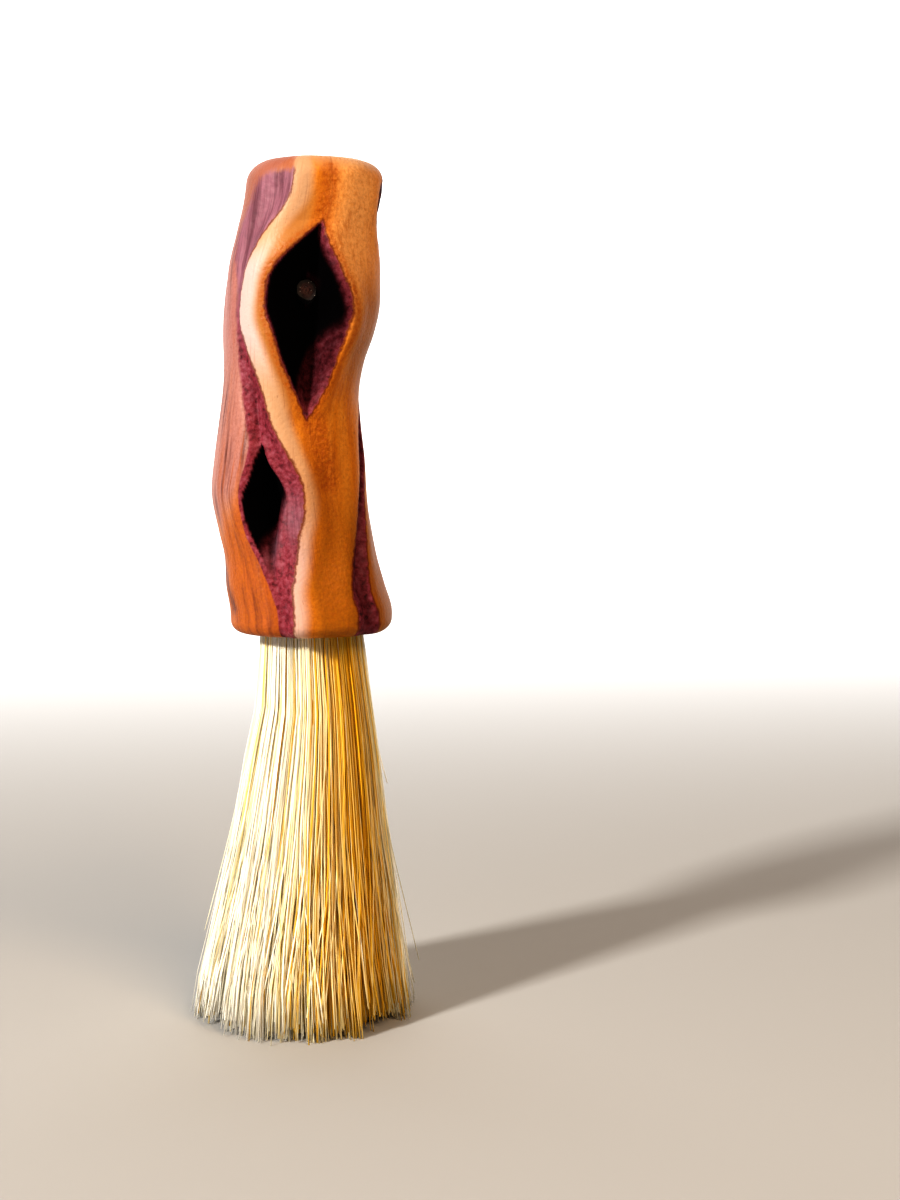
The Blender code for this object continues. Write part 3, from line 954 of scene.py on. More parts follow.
    def radius_at(self, at: Places) -> Array:
        """Works out the distance of the surface from the stick's middle line.

        Args:
            at: the places.

        Returns:
            The distance.
        """
        radius = self.radius * along_rows(STICK_LINE, 3, at.share)
        for hollow in Hollow:
            radius = radius + self.relief(hollow, at)[0]
        return radius - self.end_inset(at.share)

    def middle(self, share: Array) -> tuple[Array, Array]:
        """Gives the x and the y of the stick's middle line at a share of its length."""
        to_right, to_back = (self.radius * along_rows(STICK_LINE, column, share) for column in (1, 2))
        return self.offset + to_right, to_back

    def nearness(self, crease: Crease, at: Places, evened: float = 0.0) -> Array:
        """Works out how near places on the stick lie to a crease's line.

        Args:
            crease: the crease.
            at: the places, with angles from -180 to 180.
            evened: how much of the difference between the half widths is taken away, from 0 to 1.

        Returns:
            A number that is 1 on the line and falls to 0 to either side of it.
        """
        form = crease.value
        here = np.stack((np.radians(at.angle) * self.radius, at.share * self.length), 1)
        line = np.array([(math.radians(turn) * self.radius, up * MM - self.base) for turn, up in form.points])
        nearest = np.full(len(here), 1.0)
        on_right = np.zeros(len(here), bool)
        for start, end in zip(line[:-1], line[1:]):
            run = end - start
            t = np.clip((here - start) @ run / (run @ run), 0, 1)
            away = np.linalg.norm(here - start - t[:, None] * run, axis=1)
            right = run[0] * (here[:, 1] - start[1]) - run[1] * (here[:, 0] - start[0]) > 0
            on_right = np.where(away < nearest, right, on_right)
            nearest = np.minimum(nearest, away)
        right_width = form.right + (form.left - form.right) * evened
        return bell(nearest, np.where(on_right, right_width, form.left))

    def blank(self) -> Piece:
        """Cuts the blank: a cylinder with its rings, its capped top and its socket.

        Returns:
            The blank, with its place in its mesh.
        """
        deselect()
        bpy.ops.mesh.primitive_cylinder_add(
            vertices=self.sides, radius=self.radius, depth=self.length, location=(0, 0, self.length / 2)
        )
        stick = open_piece("willow_stick")
        for cuts in (self.first_cuts, self.second_cuts):
            select_where(stick, "EDGE", upright)
            bpy.ops.mesh.subdivide(number_cuts=cuts)
        select_where(stick, "FACE", lambda f: f.normal.z > 0.9)
        ring_cap(self.cap_rings, self.radius / (self.cap_rings + 1))
        select_where(stick, "FACE", lambda f: f.normal.z < -0.9)
        for _ in range(2):
            bpy.ops.mesh.inset(thickness=(self.radius - self.socket_radius) / 2)
        bpy.ops.mesh.extrude_region_move(TRANSFORM_OT_translate={"value": (0, 0, self.socket_depth)})
        bpy.ops.object.mode_set(mode="OBJECT")
        return stick

    def ring_share(self, evenly: Array) -> Array:
        """Spreads the rings so that they lie closer together in the rounds at both ends.

        Args:
            evenly: each ring's place if the rings were spread evenly, from 0 to 1.

        Returns:
            The ring's share of the length.
        """
        edge = self.round_rings / ((self.first_cuts + 1) * (self.second_cuts + 1))
        low, high = self.bottom_round / self.length, 1 - self.top_round / self.length
        in_low = low * (1 - np.cos(np.pi / 2 * np.clip(evenly / edge, 0, 1)))
        in_high = 1 - (1 - high) * (1 - np.cos(np.pi / 2 * np.clip((1 - evenly) / edge, 0, 1)))
        between = low + (high - low) * (evenly - edge) / (1 - 2 * edge)
        return np.where(evenly < edge, in_low, np.where(evenly > 1 - edge, in_high, between))

    def from_stub(self, at: Places) -> Array:
        """Measures how far places on the stick lie from the middle of the branch stub."""
        across = np.radians(at.angle) * self.radius - math.radians(self.stub_angle) * self.radius
        return np.hypot(across, (at.share - self.stub_share) * self.length)

    def past_strip(self, at: Places) -> tuple[Array, Array]:
        """Says how many degrees places lie past the left strip's left edge and past its right edge."""
        left, right = Hollow.LEFT_STRIP.value.edges(at.share)
        return wrapped(left - at.angle), at.angle - right

    def hollowed(self, at: Places) -> Masks:
        """Works out how places on the stick lie to its hollows.

        Args:
            at: the places.

        Returns:
            For each place, how far it is inside the edge of the heartwood, of any hollow (bare) and
            of a hollow with a sharp edge (sharp), how deep it lies, and how dark it is painted (pit), for
            old bark and painted shade together.
        """
        flat = np.zeros_like(at.share)
        far = flat - 1.0
        found = {"heart": far, "bare": far, "sharp": far, "depth": flat, "pit": flat}
        rolled = self.rolled_edge * bell(at.share - 0.62, 0.07) * soft_step(at.angle, 12, 24)
        for hollow in Hollow:
            form = hollow.value
            within = self.inside(hollow, at)[0]
            here = {
                "heart": self.inside(hollow, at, self.heart_feather)[0] if form.feather else within - rolled,
                "bare": within,
                "sharp": far if form.feather else within,
                "depth": self.relief(hollow, at)[1] * form.depth,
                "pit": self.bark_and_shade(hollow, within, at),
            }
            found = {name: np.maximum(found[name], value) for name, value in here.items()}
        ring = bell(self.from_stub(at) - 3.3 * MM, 0.9 * MM) * (at.angle > self.stub_angle)
        found["pit"] = found["pit"] * (1 - 0.22 * ring)
        return found

    def stained(self, at: Places) -> Array:
        """Works out how stained the sapwood is, in the valleys and along the upper diamond's rim.

        Args:
            at: the places.

        Returns:
            A number from 0 to 1.
        """
        rim = bell(self.inside(Hollow.UPPER_DIAMOND, at)[0] + 0.9 * MM, 1.1 * MM)
        return np.maximum.reduce(
            (
                self.nearness(Crease.UPPER_VALLEY, at, 0.5) ** 1.6,
                0.9 * self.nearness(Crease.LOWER_VALLEY, at),
                0.25 * self.nearness(Crease.LOWER_HOLLOW, at),
                0.6 * rim,
            )
        )

    def roughened(self, at: Places, radius: Array, found: Masks) -> Array:
        """Gives the surface its fine relief, and the groove round the stub.

        Args:
            at: the places.
            radius: the distance of the surface from the middle line.
            found: what hollowed says of the places, and how stained they are.

        Returns:
            The distance with the relief.
        """
        surface = np.stack((np.radians(at.angle) * self.radius, at.share * self.length, radius), 1) / MM
        in_heart = soft_step(found["bare"], -0.2 * MM, 0.8 * MM)
        in_depth = in_heart * soft_step(found["depth"], 0, 3 * MM)
        for strength, height, size_mm, seed in (
            (in_heart, 0.17 * MM, (1.5, 1.5, 1.5), 3.1),
            (found["stain"], 0.12 * MM, (1.3, 1.3, 1.3), 7.7),
            (1 - in_heart, 0.16 * MM, (7, 26, 7), 1.3),
            (in_depth, 0.25 * MM, (4, 5, 4), 9.4),
        ):
            radius = radius + strength * height * lumps(surface, size_mm, seed)
        return radius - 0.5 * MM * bell(self.from_stub(at) - 3.4 * MM, 0.7 * MM)

    def carve(self, stick: Piece) -> None:
        """Draws each point of the blank out to the stick's surface, and stores where its colours lie.

        Args:
            stick: the blank.
        """
        start = points_of(stick)
        out = np.hypot(start[:, 0], start[:, 1])
        angle = np.degrees(np.arctan2(start[:, 0], -start[:, 1]))
        socket = (out < self.socket_radius * 1.001) & (start[:, 2] < self.socket_depth * 1.01)
        side = out > self.radius * 0.999
        top = ~side & (start[:, 2] > self.length * 0.9)
        foot = ~side & ~socket & ~top
        share = self.ring_share(start[:, 2] / self.length)
        share[~side] = np.round(share[~side])
        at = Places(angle, share)

        found = self.hollowed(at)
        found["stain"] = self.stained(at)
        radius = self.radius_at(at)
        for crease in Crease:
            radius = radius + crease.value.lift * self.nearness(crease, at)
        radius = self.roughened(at, radius, found)

        turn = np.radians(angle)
        rough_round = lumps(np.stack((np.cos(turn), np.sin(turn), 0 * turn), 1), (0.8,) * 3, 2.2)
        core = self.core_share * self.radius * (1 + 0.25 * rough_round) - out
        end_grain = np.maximum(np.minimum(found["sharp"], self.end_heart), core)
        found["heart"] = np.where(top, end_grain, found["heart"])
        inner = np.clip(out / self.radius, 0, 1)
        radius = np.where(top, radius * inner, radius)
        wall = np.clip((out - self.socket_radius) / (self.radius - self.socket_radius), 0, 1)
        radius = np.where(foot, self.socket_radius + (radius - self.socket_radius) * wall, radius)
        middle_x, middle_y = self.middle(share)
        height = self.base + share * self.length + np.where(top, self.crown * (1 - inner**2), 0)
        placed = np.stack((middle_x + radius * np.sin(turn), middle_y - radius * np.cos(turn), height), 1)
        placed[socket] = (start + (self.offset, 0, self.base))[socket]
        move_points(stick, placed)

        found |= {"out": out, "skin": soft_step(out / self.radius, 0.5, 1), "ends": socket | top | foot}
        for name, mask in {**self.sapwood(at, found), **self.heartwood(at, found)}.items():
            write_attribute(stick, name, mask)
        write_attribute(stick, "grain_mm", self.grain(at, out))

    def sapwood(self, at: Places, found: Masks) -> Masks:
        """Works out where the sapwood's colours lie, for its finish to read.

        A mask is as strong as its coat is opaque. Clear is where no pink flank lies, amber and dusky
        where the flank has amber and dark streaks, and dimpled how rough the stained surface is. Some
        masks paint light and shade: a paler upper right, a darker lower right and right side, and
        highlights on the pale ridge, the top rim and the flank's lower bulge.

        Args:
            at: the stick's points.
            found: how stained each point is (stain) and how near the blank's side it was (skin).

        Returns:
            A number for each point, under the name of each mask.
        """
        angle, share, stain, skin = at.angle, at.share, found["stain"], found["skin"]
        past_left, past_right = self.past_strip(at)
        streaks = lumps(np.stack((angle, share, 0 * share), 1), (9, 0.7, 1), 5.3)
        leftward = soft_step(past_left, -12, 0) * (1 - soft_step(past_left + 30 * streaks, 60, 105)) * skin
        turns_pink = 0.22 - 0.05 * soft_step(past_left, 10, 28) - 0.06 * soft_step(past_left, 30, 70)
        flank = leftward * soft_step(share - turns_pink + 0.05 * streaks, 0, 0.13)
        low = leftward - flank
        # the lower flank's pink is lightened as a painted highlight on its bulge
        salmon = 1 - soft_step(share, 0.5, 0.68)

        # the ridge right of the left strip is pale sapwood, painted paler still as a highlight; the top rim
        # beside it gets a painted highlight alone
        away = past_right * math.radians(1) * self.radius
        wide = 2.1 * MM * soft_step(share, 0.32, 0.46)
        crest = soft_step(away, -0.8 * MM, 0.4 * MM) * (1 - soft_step(away - wide, 1.5 * MM, 4.6 * MM))
        crest = np.maximum(crest, 0.7 * soft_step(share, 0.96, 0.995) * (past_right > 0))
        crest *= (0.75 + 0.25 * soft_step(share, 0.25, 0.5)) * skin
        rim_tan = soft_step(away, 3 * MM, 6 * MM) * (1 - soft_step(angle, -4, 8))
        # painted shade: the lower right of the body, which turns away from the light, and the far right side
        # are painted darker
        toned = soft_step(angle - 18 * soft_step(share, 0.1, 0.25), 0, 10) * (1 - soft_step(share, 0.2, 0.36))
        limb_shade = soft_step(angle, 36, 56) * band(share, 0.45, 0.6, 0.68, 0.8)
        toned = np.maximum(toned, 0.9 * limb_shade) * (1 - soft_step(angle, 100, 130)) * skin
        rust = soft_step(7 - past_right, 0, 6) * soft_step(share, 0.78, 0.93) * (angle > -90) * skin
        return {
            # painted light: the upper right of the body is painted paler, as if lit from above
            "sunny": 0.85 * soft_step(share, 0.55, 0.85) * band(angle, 6, 36, 42, 80),
            "toned": 0.85 * toned,
            "low_orange": 0.9 * soft_step(low, 0, 1),
            "flank": 0.92 * soft_step(flank, 0, 1),
            "salmon": salmon,
            "amber": flank * salmon,
            "dusky": np.maximum(flank, 0.7 * low),
            "dark_streak": self.nearness(Crease.LEFT_STREAK, at),
            "clear": 1 - 0.85 * flank,
            "rust": 0.85 * rust,
            "rim_tan": 0.85 * rim_tan * band(share, 0.36, 0.5, 0.9, 0.96),
            "crest": 0.92 * crest,
            "warm_crest": band(share, 0.16, 0.3, 0.5, 0.64) + soft_step(share, 0.76, 0.84),
            "stain": soft_step(stain, 0, 0.75),
            "dimpled": 0.45 + 0.55 * soft_step(stain, 0, 1),
        }

    def heartwood(self, at: Places, found: Masks) -> Masks:
        """Works out where the heartwood's colours lie, for its finish to read.

        Veil is how whole the heartwood's coat is, pit_edge where the dark of a pit frays, sleek where
        the wood is worn smooth, together with a painted highlight at the knot hole's lower end, and
        pebbled how rough it is.

        Args:
            at: the stick's points.
            found: what hollowed says of each point, how far from the middle it was in the blank
                (out) and whether it lies on end grain (ends).

        Returns:
            A number for each point, under the name of each mask.
        """
        angle, share, pit, ends = at.angle, at.share, found["pit"], found["ends"]
        from_left = -self.past_strip(at)[0] * math.radians(1) * self.radius
        reach = (0.8 + 1.6 * soft_step(share, 0.34, 0.42) + 8 * soft_step(share, 0.75, 0.85)) * MM
        veil = soft_step(from_left / reach, -1.0, 0.45) * (1 - soft_step(share, 0.935, 0.99))
        in_sharp = found["sharp"] > -0.6 * MM
        on_left = (angle < -8) & (angle > -100) & ~in_sharp
        beside_knot = bell(share - 0.245, 0.055) * soft_step(angle, -12, -2) * (angle < 40)
        knot_edge = Hollow.KNOT_HOLE.value.edges(share)[1]
        # painted highlight: a pale mauve streak on the right of the knot hole's lower end, drawn in the sleek
        # colours
        painted_glint = bell(share - 0.195, 0.04) * bell(angle - knot_edge + 4, 6)
        sleek = np.maximum.reduce(
            (soft_step(share, 0.58, 0.78) * on_left, 0.7 * beside_knot, 0.85 * painted_glint, 0.6 * ends)
        )
        return {
            "heart_mm": found["heart"] / MM,
            "veil": np.maximum(veil, in_sharp | (found["out"] < 0.99 * self.radius)),
            "pit": pit,
            "pit_edge": 2 * pit * (1 - pit),
            "sleek": 0.85 * sleek,
            "pebbled": 1 - 0.9 * sleek,
            "end_grain": ends.astype(float),
        }

    def grain(self, at: Places, out: Array) -> Array:
        """Lays the grain along the stick, parted round each diamond as water parts round a stone.

        Args:
            at: the stick's points.
            out: how far from the middle each point was in the blank.

        Returns:
            For each point, the grain's place across, along and out of the stick, in mm.
        """
        across = np.radians(at.angle) * self.radius
        moved = across.copy()
        stones = Hollow.UPPER_DIAMOND, Hollow.KNOT_HOLE, Hollow.BACK_LEFT_DIAMOND, Hollow.BACK_RIGHT_DIAMOND
        for hollow in stones:
            left, right = (np.radians(edge) * self.radius for edge in hollow.value.edges(at.share))
            half = 0.85 * (right - left) / 2
            away = across - (left + right) / 2
            parted = np.sign(away) * np.sqrt(np.maximum(away**2 - half**2, (0.2 * away) ** 2))
            moved += (parted - away) * bell(away, 16 * MM)
        return np.stack((moved, at.share * self.length, out), 1) / MM

    def build(self) -> Piece:
        """Makes and dresses the stick.

        Returns:
            The finished stick.
        """
        stick = self.blank()
        self.carve(stick)
        bpy.ops.object.shade_smooth_by_angle(angle=math.radians(55))
        return finish_piece(stick, self.finish.material(), "handle")


@dataclass
class BranchStub:
    """The end of the dead branch that the upper diamond grew round, worn and ringed."""

    stick: WillowStick
    radius: float = 2.9 * MM
    end_radius: float = 2.5 * MM
    length: float = 6.8 * MM
    proud: float = 2.2 * MM
    tilt: float = 8
    sides: int = 40
    side_cuts: int = 14
    rim: float = 0.15 * MM
    rim_height: float = 0.25 * MM
    face_cuts: int = 6
    face_step: float = 0.29 * MM
    dish_depth: float = 0.5 * MM
    dish_radius: float = 0.9 * MM
    ring_height: float = 0.07 * MM
    ring_width: float = 0.5 * MM
    wear: float = 0.16 * MM
    oval: float = 0.22
    finish: DeadWoodFinish = field(default_factory=DeadWoodFinish)

    def blank(self) -> Piece:
        """Cuts the blank: a cone with a bevelled rim and rings of points on its face.

        Returns:
            The blank, standing up with its rim at the ground.
        """
        deselect()
        bpy.ops.mesh.primitive_cone_add(
            vertices=self.sides,
            radius1=self.radius,
            radius2=self.end_radius,
            depth=self.length,
            location=(0, 0, -self.length / 2),
        )
        stub = open_piece("dead_branch_stub")
        select_where(stub, "EDGE", upright)
        bpy.ops.mesh.subdivide(number_cuts=self.side_cuts)
        select_where(stub, "FACE", lambda f: f.normal.z > 0.9)
        bpy.ops.mesh.inset(thickness=self.rim)
        bpy.ops.transform.translate(value=(0, 0, self.rim_height))
        ring_cap(self.face_cuts, self.face_step)
        bpy.ops.object.mode_set(mode="OBJECT")
        return stub

    def weather(self, stub: Piece) -> None:
        """Wears the blank: its face is dished and ringed, and its side rough and not quite round.

        Args:
            stub: the blank.
        """
        points = points_of(stub)
        out = np.hypot(points[:, 0], points[:, 1])
        face = points[:, 2] > -0.05 * MM
        points[:, 2] -= face * self.dish_depth * bell(out, self.dish_radius)
        points[:, 2] += face * self.ring_height * np.sin(out / self.ring_width * math.pi)
        points += self.wear * lumps(points, (0.9 * MM,) * 3, 2.2)[:, None] * np.sign(points)
        points[:, :2] *= 1 + self.oval * lumps(points, (2.4 * MM, 2.4 * MM, 9 * MM), 6.1)[:, None]
        move_points(stub, points)
        write_attribute(stub, "ring_mm", out / MM)

    def build(self) -> Piece:
        """Makes and dresses the stub, and sets it in the upper diamond's floor.

        Returns:
            The finished stub.
        """
        share = np.array([self.stick.stub_share])
        out = self.stick.radius_at(Places(np.array([self.stick.stub_angle], float), share))[0] + self.proud
        (x,), (y,) = self.stick.middle(share)
        turn = math.radians(self.stick.stub_angle)
        height = self.stick.base + share[0] * self.stick.length
        end = Vector((x + out * math.sin(turn), y - out * math.cos(turn), height))
        stub = self.blank()
        self.weather(stub)
        lean = Matrix.Rotation(math.radians(90 - self.tilt), 4, "X")
        stub.data.transform(Matrix.Translation(end) @ Matrix.Rotation(turn, 4, "Z") @ lean)
        bpy.ops.object.shade_smooth_by_angle(angle=math.radians(50))
        return finish_piece(stub, self.finish.material(), "branch_stub")


@dataclass(frozen=True)
class LayerForm:
    """How a layer of the tuft is filled.

    Low and high are the shares of the tuft's radius that it starts and ends at, sides and lengths
    how many of each a fibre has, wander how far its tips wander, gold how much more gold its fibres
    are toned as painted shade, ragged how ragged its tips are, and lowest how high the lowest of them
    ends.
    """

    fibres: int
    low: float
    high: float
    sides: int
    lengths: int
    wander: float
    gold: float
    ragged: float
    lowest: float


class Layer(Enum):
    """The tuft's layers, from its core out. The inner ones are toned more gold as painted shade between the
    fibres; the outer ones stay pale.
    """

    CORE = LayerForm(900, 0.0, 0.66, 3, 3, 0.8 * MM, 0.5, 3 * MM, 2.5 * MM)
    BODY = LayerForm(2500, 0.58, 0.97, 3, 7, 1.2 * MM, 0.4, 6 * MM, 1.2 * MM)
    FRINGE = LayerForm(1500, 0.88, 1.01, 4, 9, 1.6 * MM, -0.05, 9 * MM, 0.0)


@dataclass(frozen=True)
class Bundle:
    """Fibres to draw, with one number or one pair of numbers for each.

    Root and foot are x and y at the butt and at the tip, as shares of the tuft's radius. Tip is the
    tip's height. Bow is how far the fibre bends out of line towards its tip and wave how far it waves
    on its way, both in x and y. Width is its thickness one way and the other, tone goes from 0 for
    pale to 1 for brown, and turn is how far its flat side is turned, in radians.
    """

    root: Array
    foot: Array
    tip: Array
    bow: Array
    wave: Array
    width: Array
    tone: Array
    turn: Array


def from_front(turn: Array, out: Array) -> Array:
    """Gives the x and y of places that lie out from the middle, turned from the front in radians."""
    return np.stack((out * np.sin(turn), -out * np.cos(turn)), 1)


@dataclass
class FibreTuft:
    """The tampico tuft: fibres gathered at the neck, bound and glued above it, and flared below.

    Towards the ground they draw together in clumps and small locks, with dark gaps between. Its
    inner fibres and its right front are toned more gold as painted shade.
    """

    top: float = 115 * MM
    butt_bottom: float = 106.6 * MM
    butt_radius: float = 12.76 * MM
    waist_radius: float = 11.96 * MM
    flange: float = 1 * MM
    butt_sides: int = 96
    butt_rings: int = 5
    butt_rough: float = 0.12 * MM
    middle: float = 2.2 * MM
    locks: int = 800
    lock_pull: float = 0.8
    clumps: int = 120
    clump_pull: float = 0.45
    fibre_width: float = 0.31 * MM
    taper: float = 0.18
    swing: float = 0.1
    # painted shade: the tuft's right front is toned more gold, for the warm light in its shade; side and
    # spread in degrees
    shade_gold_side: float = 36
    shade_gold_spread: float = 39
    shade_gold: float = 0.54
    seed: int = 11
    # height above the ground, the tuft's middle to the right, and its radius, all in mm
    outline: Rows = (
        (0.0, 0.0, 27.2), (4.0, 0.0, 26.9), (11.0, -0.1, 25.8), (32.0, 0.95, 22.0), (45.0, 1.6, 19.7),
        (62.0, 2.4, 17.0), (79.0, 3.1, 13.9), (94.5, 2.5, 12.5), (106.6, 2.2, 11.5),
    )
    # tips that stray: degrees from the front at the root and at the tip, share of the radius, height
    # of the tip and how far out of the tuft it ends, both in mm
    strays: Rows = (
        (70, 82, 0.97, 13.0, 4.6), (62, 76, 0.99, 8.0, 2.4), (84, 88, 0.98, 58.0, 1.6),
        (-8, 9, 0.99, 5.0, 0.8), (16, 1, 0.99, 6.5, 0.7), (30, 35, 0.99, 9.0, 0.5),
        (-52, -64, 0.99, 12.0, 1.5), (-88, -96, 0.99, 20.0, 2.0), (150, 160, 0.99, 9.0, 3.4),
        (-150, -140, 0.99, 15.0, 3.0),
    )
    finish: TampicoFinish = field(default_factory=TampicoFinish)

    def template(self, sides: int, lengths: int) -> tuple[Array, list[tuple[int, ...]]]:
        """Models one fibre, 1 long and 1 thick, which all the others are drawn from.

        Args:
            sides: how many sides it has.
            lengths: how many lengths it is cut into.

        Returns:
            Its points and its faces.
        """
        deselect()
        bpy.ops.mesh.primitive_cylinder_add(
            vertices=sides, radius=0.5, depth=1, location=(0, 0, 0.5), end_fill_type="NGON"
        )
        fibre = open_piece("one_fibre")
        select_where(fibre, "EDGE", upright)
        bpy.ops.mesh.subdivide(number_cuts=lengths - 1)
        bpy.ops.object.mode_set(mode="OBJECT")
        points = points_of(fibre)
        faces = [tuple(p.vertices) for p in fibre.data.polygons]
        bpy.data.objects.remove(fibre)
        return points, faces

    def gather(self, places: Array, count: int) -> tuple[Array, Array]:
        """Finds the lock or clump that each fibre's foot belongs to.

        Args:
            places: the x and y of each foot, as shares of the tuft's radius.
            count: how many locks or clumps the tuft's foot has.

        Returns:
            The number of each fibre's lock or clump, and the way to its middle.
        """
        rng = np.random.default_rng(self.seed + 1)
        index = np.arange(count)
        turn = index * GOLDEN_ANGLE + rng.normal(0, 0.03, count)
        middles = from_front(turn, np.sqrt((index + 0.5) / count) * 0.985)
        nearest = np.linalg.norm(places[:, None, :] - middles[None], axis=2).argmin(1)
        return nearest, middles[nearest] - places

    def draw(self, name: str, bundle: Bundle, sides: int, lengths: int) -> Piece:
        """Draws a bundle's fibres from the one that was modelled, as one piece.

        Args:
            name: the piece's name.
            bundle: the fibres.
            sides: how many sides a fibre has.
            lengths: how many lengths it is cut into.

        Returns:
            The piece, not yet dressed.
        """
        shape, faces = self.template(sides, lengths)
        s = shape[:, 2][None, :]
        even = s**0.85
        height = (self.butt_bottom + 1 * MM) * (1 - even) + bundle.tip[:, None] * even
        height = np.maximum(height, 0)
        middle, radius = (along_rows(self.outline, column, height / MM) * MM for column in (1, 2))
        at_foot = soft_step(s, 0.5, 1.0)[..., None]
        out = bundle.root[:, None, :] * (1 - at_foot) + bundle.foot[:, None, :] * at_foot
        lean = s[..., None] ** 2 * bundle.bow[:, None, :]
        lean = lean + np.sin(2 * np.pi * s[..., None]) * bundle.wave[:, None, :]
        taper = 1 - self.taper * s
        cos, sin = np.cos(bundle.turn)[:, None], np.sin(bundle.turn)[:, None]
        flat = shape[None, :, 0] * bundle.width[:, :1] * taper
        deep = shape[None, :, 1] * bundle.width[:, 1:] * taper
        x = middle + out[..., 0] * radius + lean[..., 0] + flat * cos - deep * sin
        y = out[..., 1] * radius + lean[..., 1] + flat * sin + deep * cos
        count, size = len(bundle.tip), len(shape)
        grid = [tuple(v + i * size for v in f) for i in range(count) for f in faces]
        mesh = bpy.data.meshes.new(name)
        mesh.from_pydata(np.stack((x, y, height), 2).reshape(-1, 3).tolist(), [], grid)
        made = bpy.data.objects.new(name, mesh)
        bpy.context.scene.collection.objects.link(made)
        mesh.shade_smooth()
        mesh.set_sharp_from_angle(angle=math.radians(100))
        write_attribute(made, "tone", np.repeat(bundle.tone, size))
        write_attribute(made, "along", np.broadcast_to(s, (count, size)).ravel())
        return made

    def tones(self, rng: np.random.Generator, count: int) -> Array:
        """Picks each fibre's tone: most are pale, some are tan and a few brown.

        Args:
            rng: the source of chance.
            count: how many fibres.

        Returns:
            A tone from 0 to 1 for each fibre.
        """
        tone = 0.04 + 0.75 * rng.beta(1.3, 6.0, count)
        odd = rng.random(count)
        tone = np.where(odd < 0.02, rng.uniform(0.4, 0.6, count), tone)
        return np.where(odd > 0.993, rng.uniform(0.75, 0.9, count), tone)

    def layer(self, layer: Layer) -> Piece:
        """Makes one layer of the tuft.

        Args:
            layer: which layer.

        Returns:
            The layer's piece, not yet dressed.
        """
        form = layer.value
        count = form.fibres
        rng = np.random.default_rng(self.seed + count)
        index = np.arange(count)
        out = np.sqrt(form.low**2 + (form.high**2 - form.low**2) * (index + 0.5) / count)
        turn = index * GOLDEN_ANGLE + rng.normal(0, 0.02, count)
        spread = from_front(turn + rng.normal(0, self.swing, count), out)
        clump, to_clump = self.gather(spread, self.clumps)
        spread += to_clump * self.clump_pull
        spread *= (out / np.maximum(np.linalg.norm(spread, axis=1), 1e-6))[:, None]
        lock, to_lock = self.gather(spread, self.locks)
        foot = spread + to_lock * self.lock_pull * rng.uniform(0.3, 1.2, count)[:, None]
        foot *= np.minimum(1, 1.03 / np.maximum(np.linalg.norm(foot, axis=1), 1e-6))[:, None]
        lock_tip = np.random.default_rng(self.seed + 2).uniform(0, 1, self.locks) ** 1.5
        clump_tip = np.random.default_rng(self.seed + 3).uniform(-0.3, 0.3, self.clumps)
        tip = form.ragged * (0.5 * lock_tip[lock] + clump_tip[clump] + 0.4 * rng.uniform(-0.5, 1, count))
        bow = rng.normal(0, 0.6, (count, 2)) * form.wander
        wave = rng.normal(0, 0.2, (count, 2)) * form.wander
        width = self.fibre_width * np.stack((rng.uniform(0.75, 1.5, count), rng.uniform(0.65, 1.0, count)), 1)
        # painted shade: fibres towards the shaded right front, and those of the inner layers, are toned more
        # gold
        sunless = bell(wrapped(np.degrees(turn) - self.shade_gold_side), self.shade_gold_spread)
        tone = self.tones(rng, count) + form.gold * (0.3 + 0.7 * sunless) + self.shade_gold * sunless
        tone = np.clip(tone, 0.0, 0.84)
        tip = form.lowest + np.maximum(tip, 0.0)
        flat_side = rng.uniform(0, math.pi, count)
        bundle = Bundle(from_front(turn, out), foot, tip, bow, wave, width, tone, flat_side)
        return self.draw(f"tampico_{layer.name.lower()}", bundle, form.sides, form.lengths)

    def stray_fibres(self) -> Piece:
        """Makes the few fibres that stray out of the tuft.

        Returns:
            The strays' piece, not yet dressed.
        """
        rng = np.random.default_rng(self.seed + 5)
        at_root, at_tip, share, tip, past = np.array(self.strays).T
        count = len(tip)
        root, foot = (from_front(np.radians(turn), share) for turn in (at_root, at_tip))
        bundle = Bundle(
            root=root,
            foot=foot,
            tip=tip * MM,
            bow=foot * past[:, None] * MM,
            wave=rng.normal(0, 0.3 * MM, (count, 2)),
            width=self.fibre_width * np.tile((1.15, 0.8), (count, 1)),
            tone=rng.uniform(0.1, 0.5, count),
            turn=rng.uniform(0, math.pi, count),
        )
        return self.draw("tampico_strays", bundle, 4, 12)

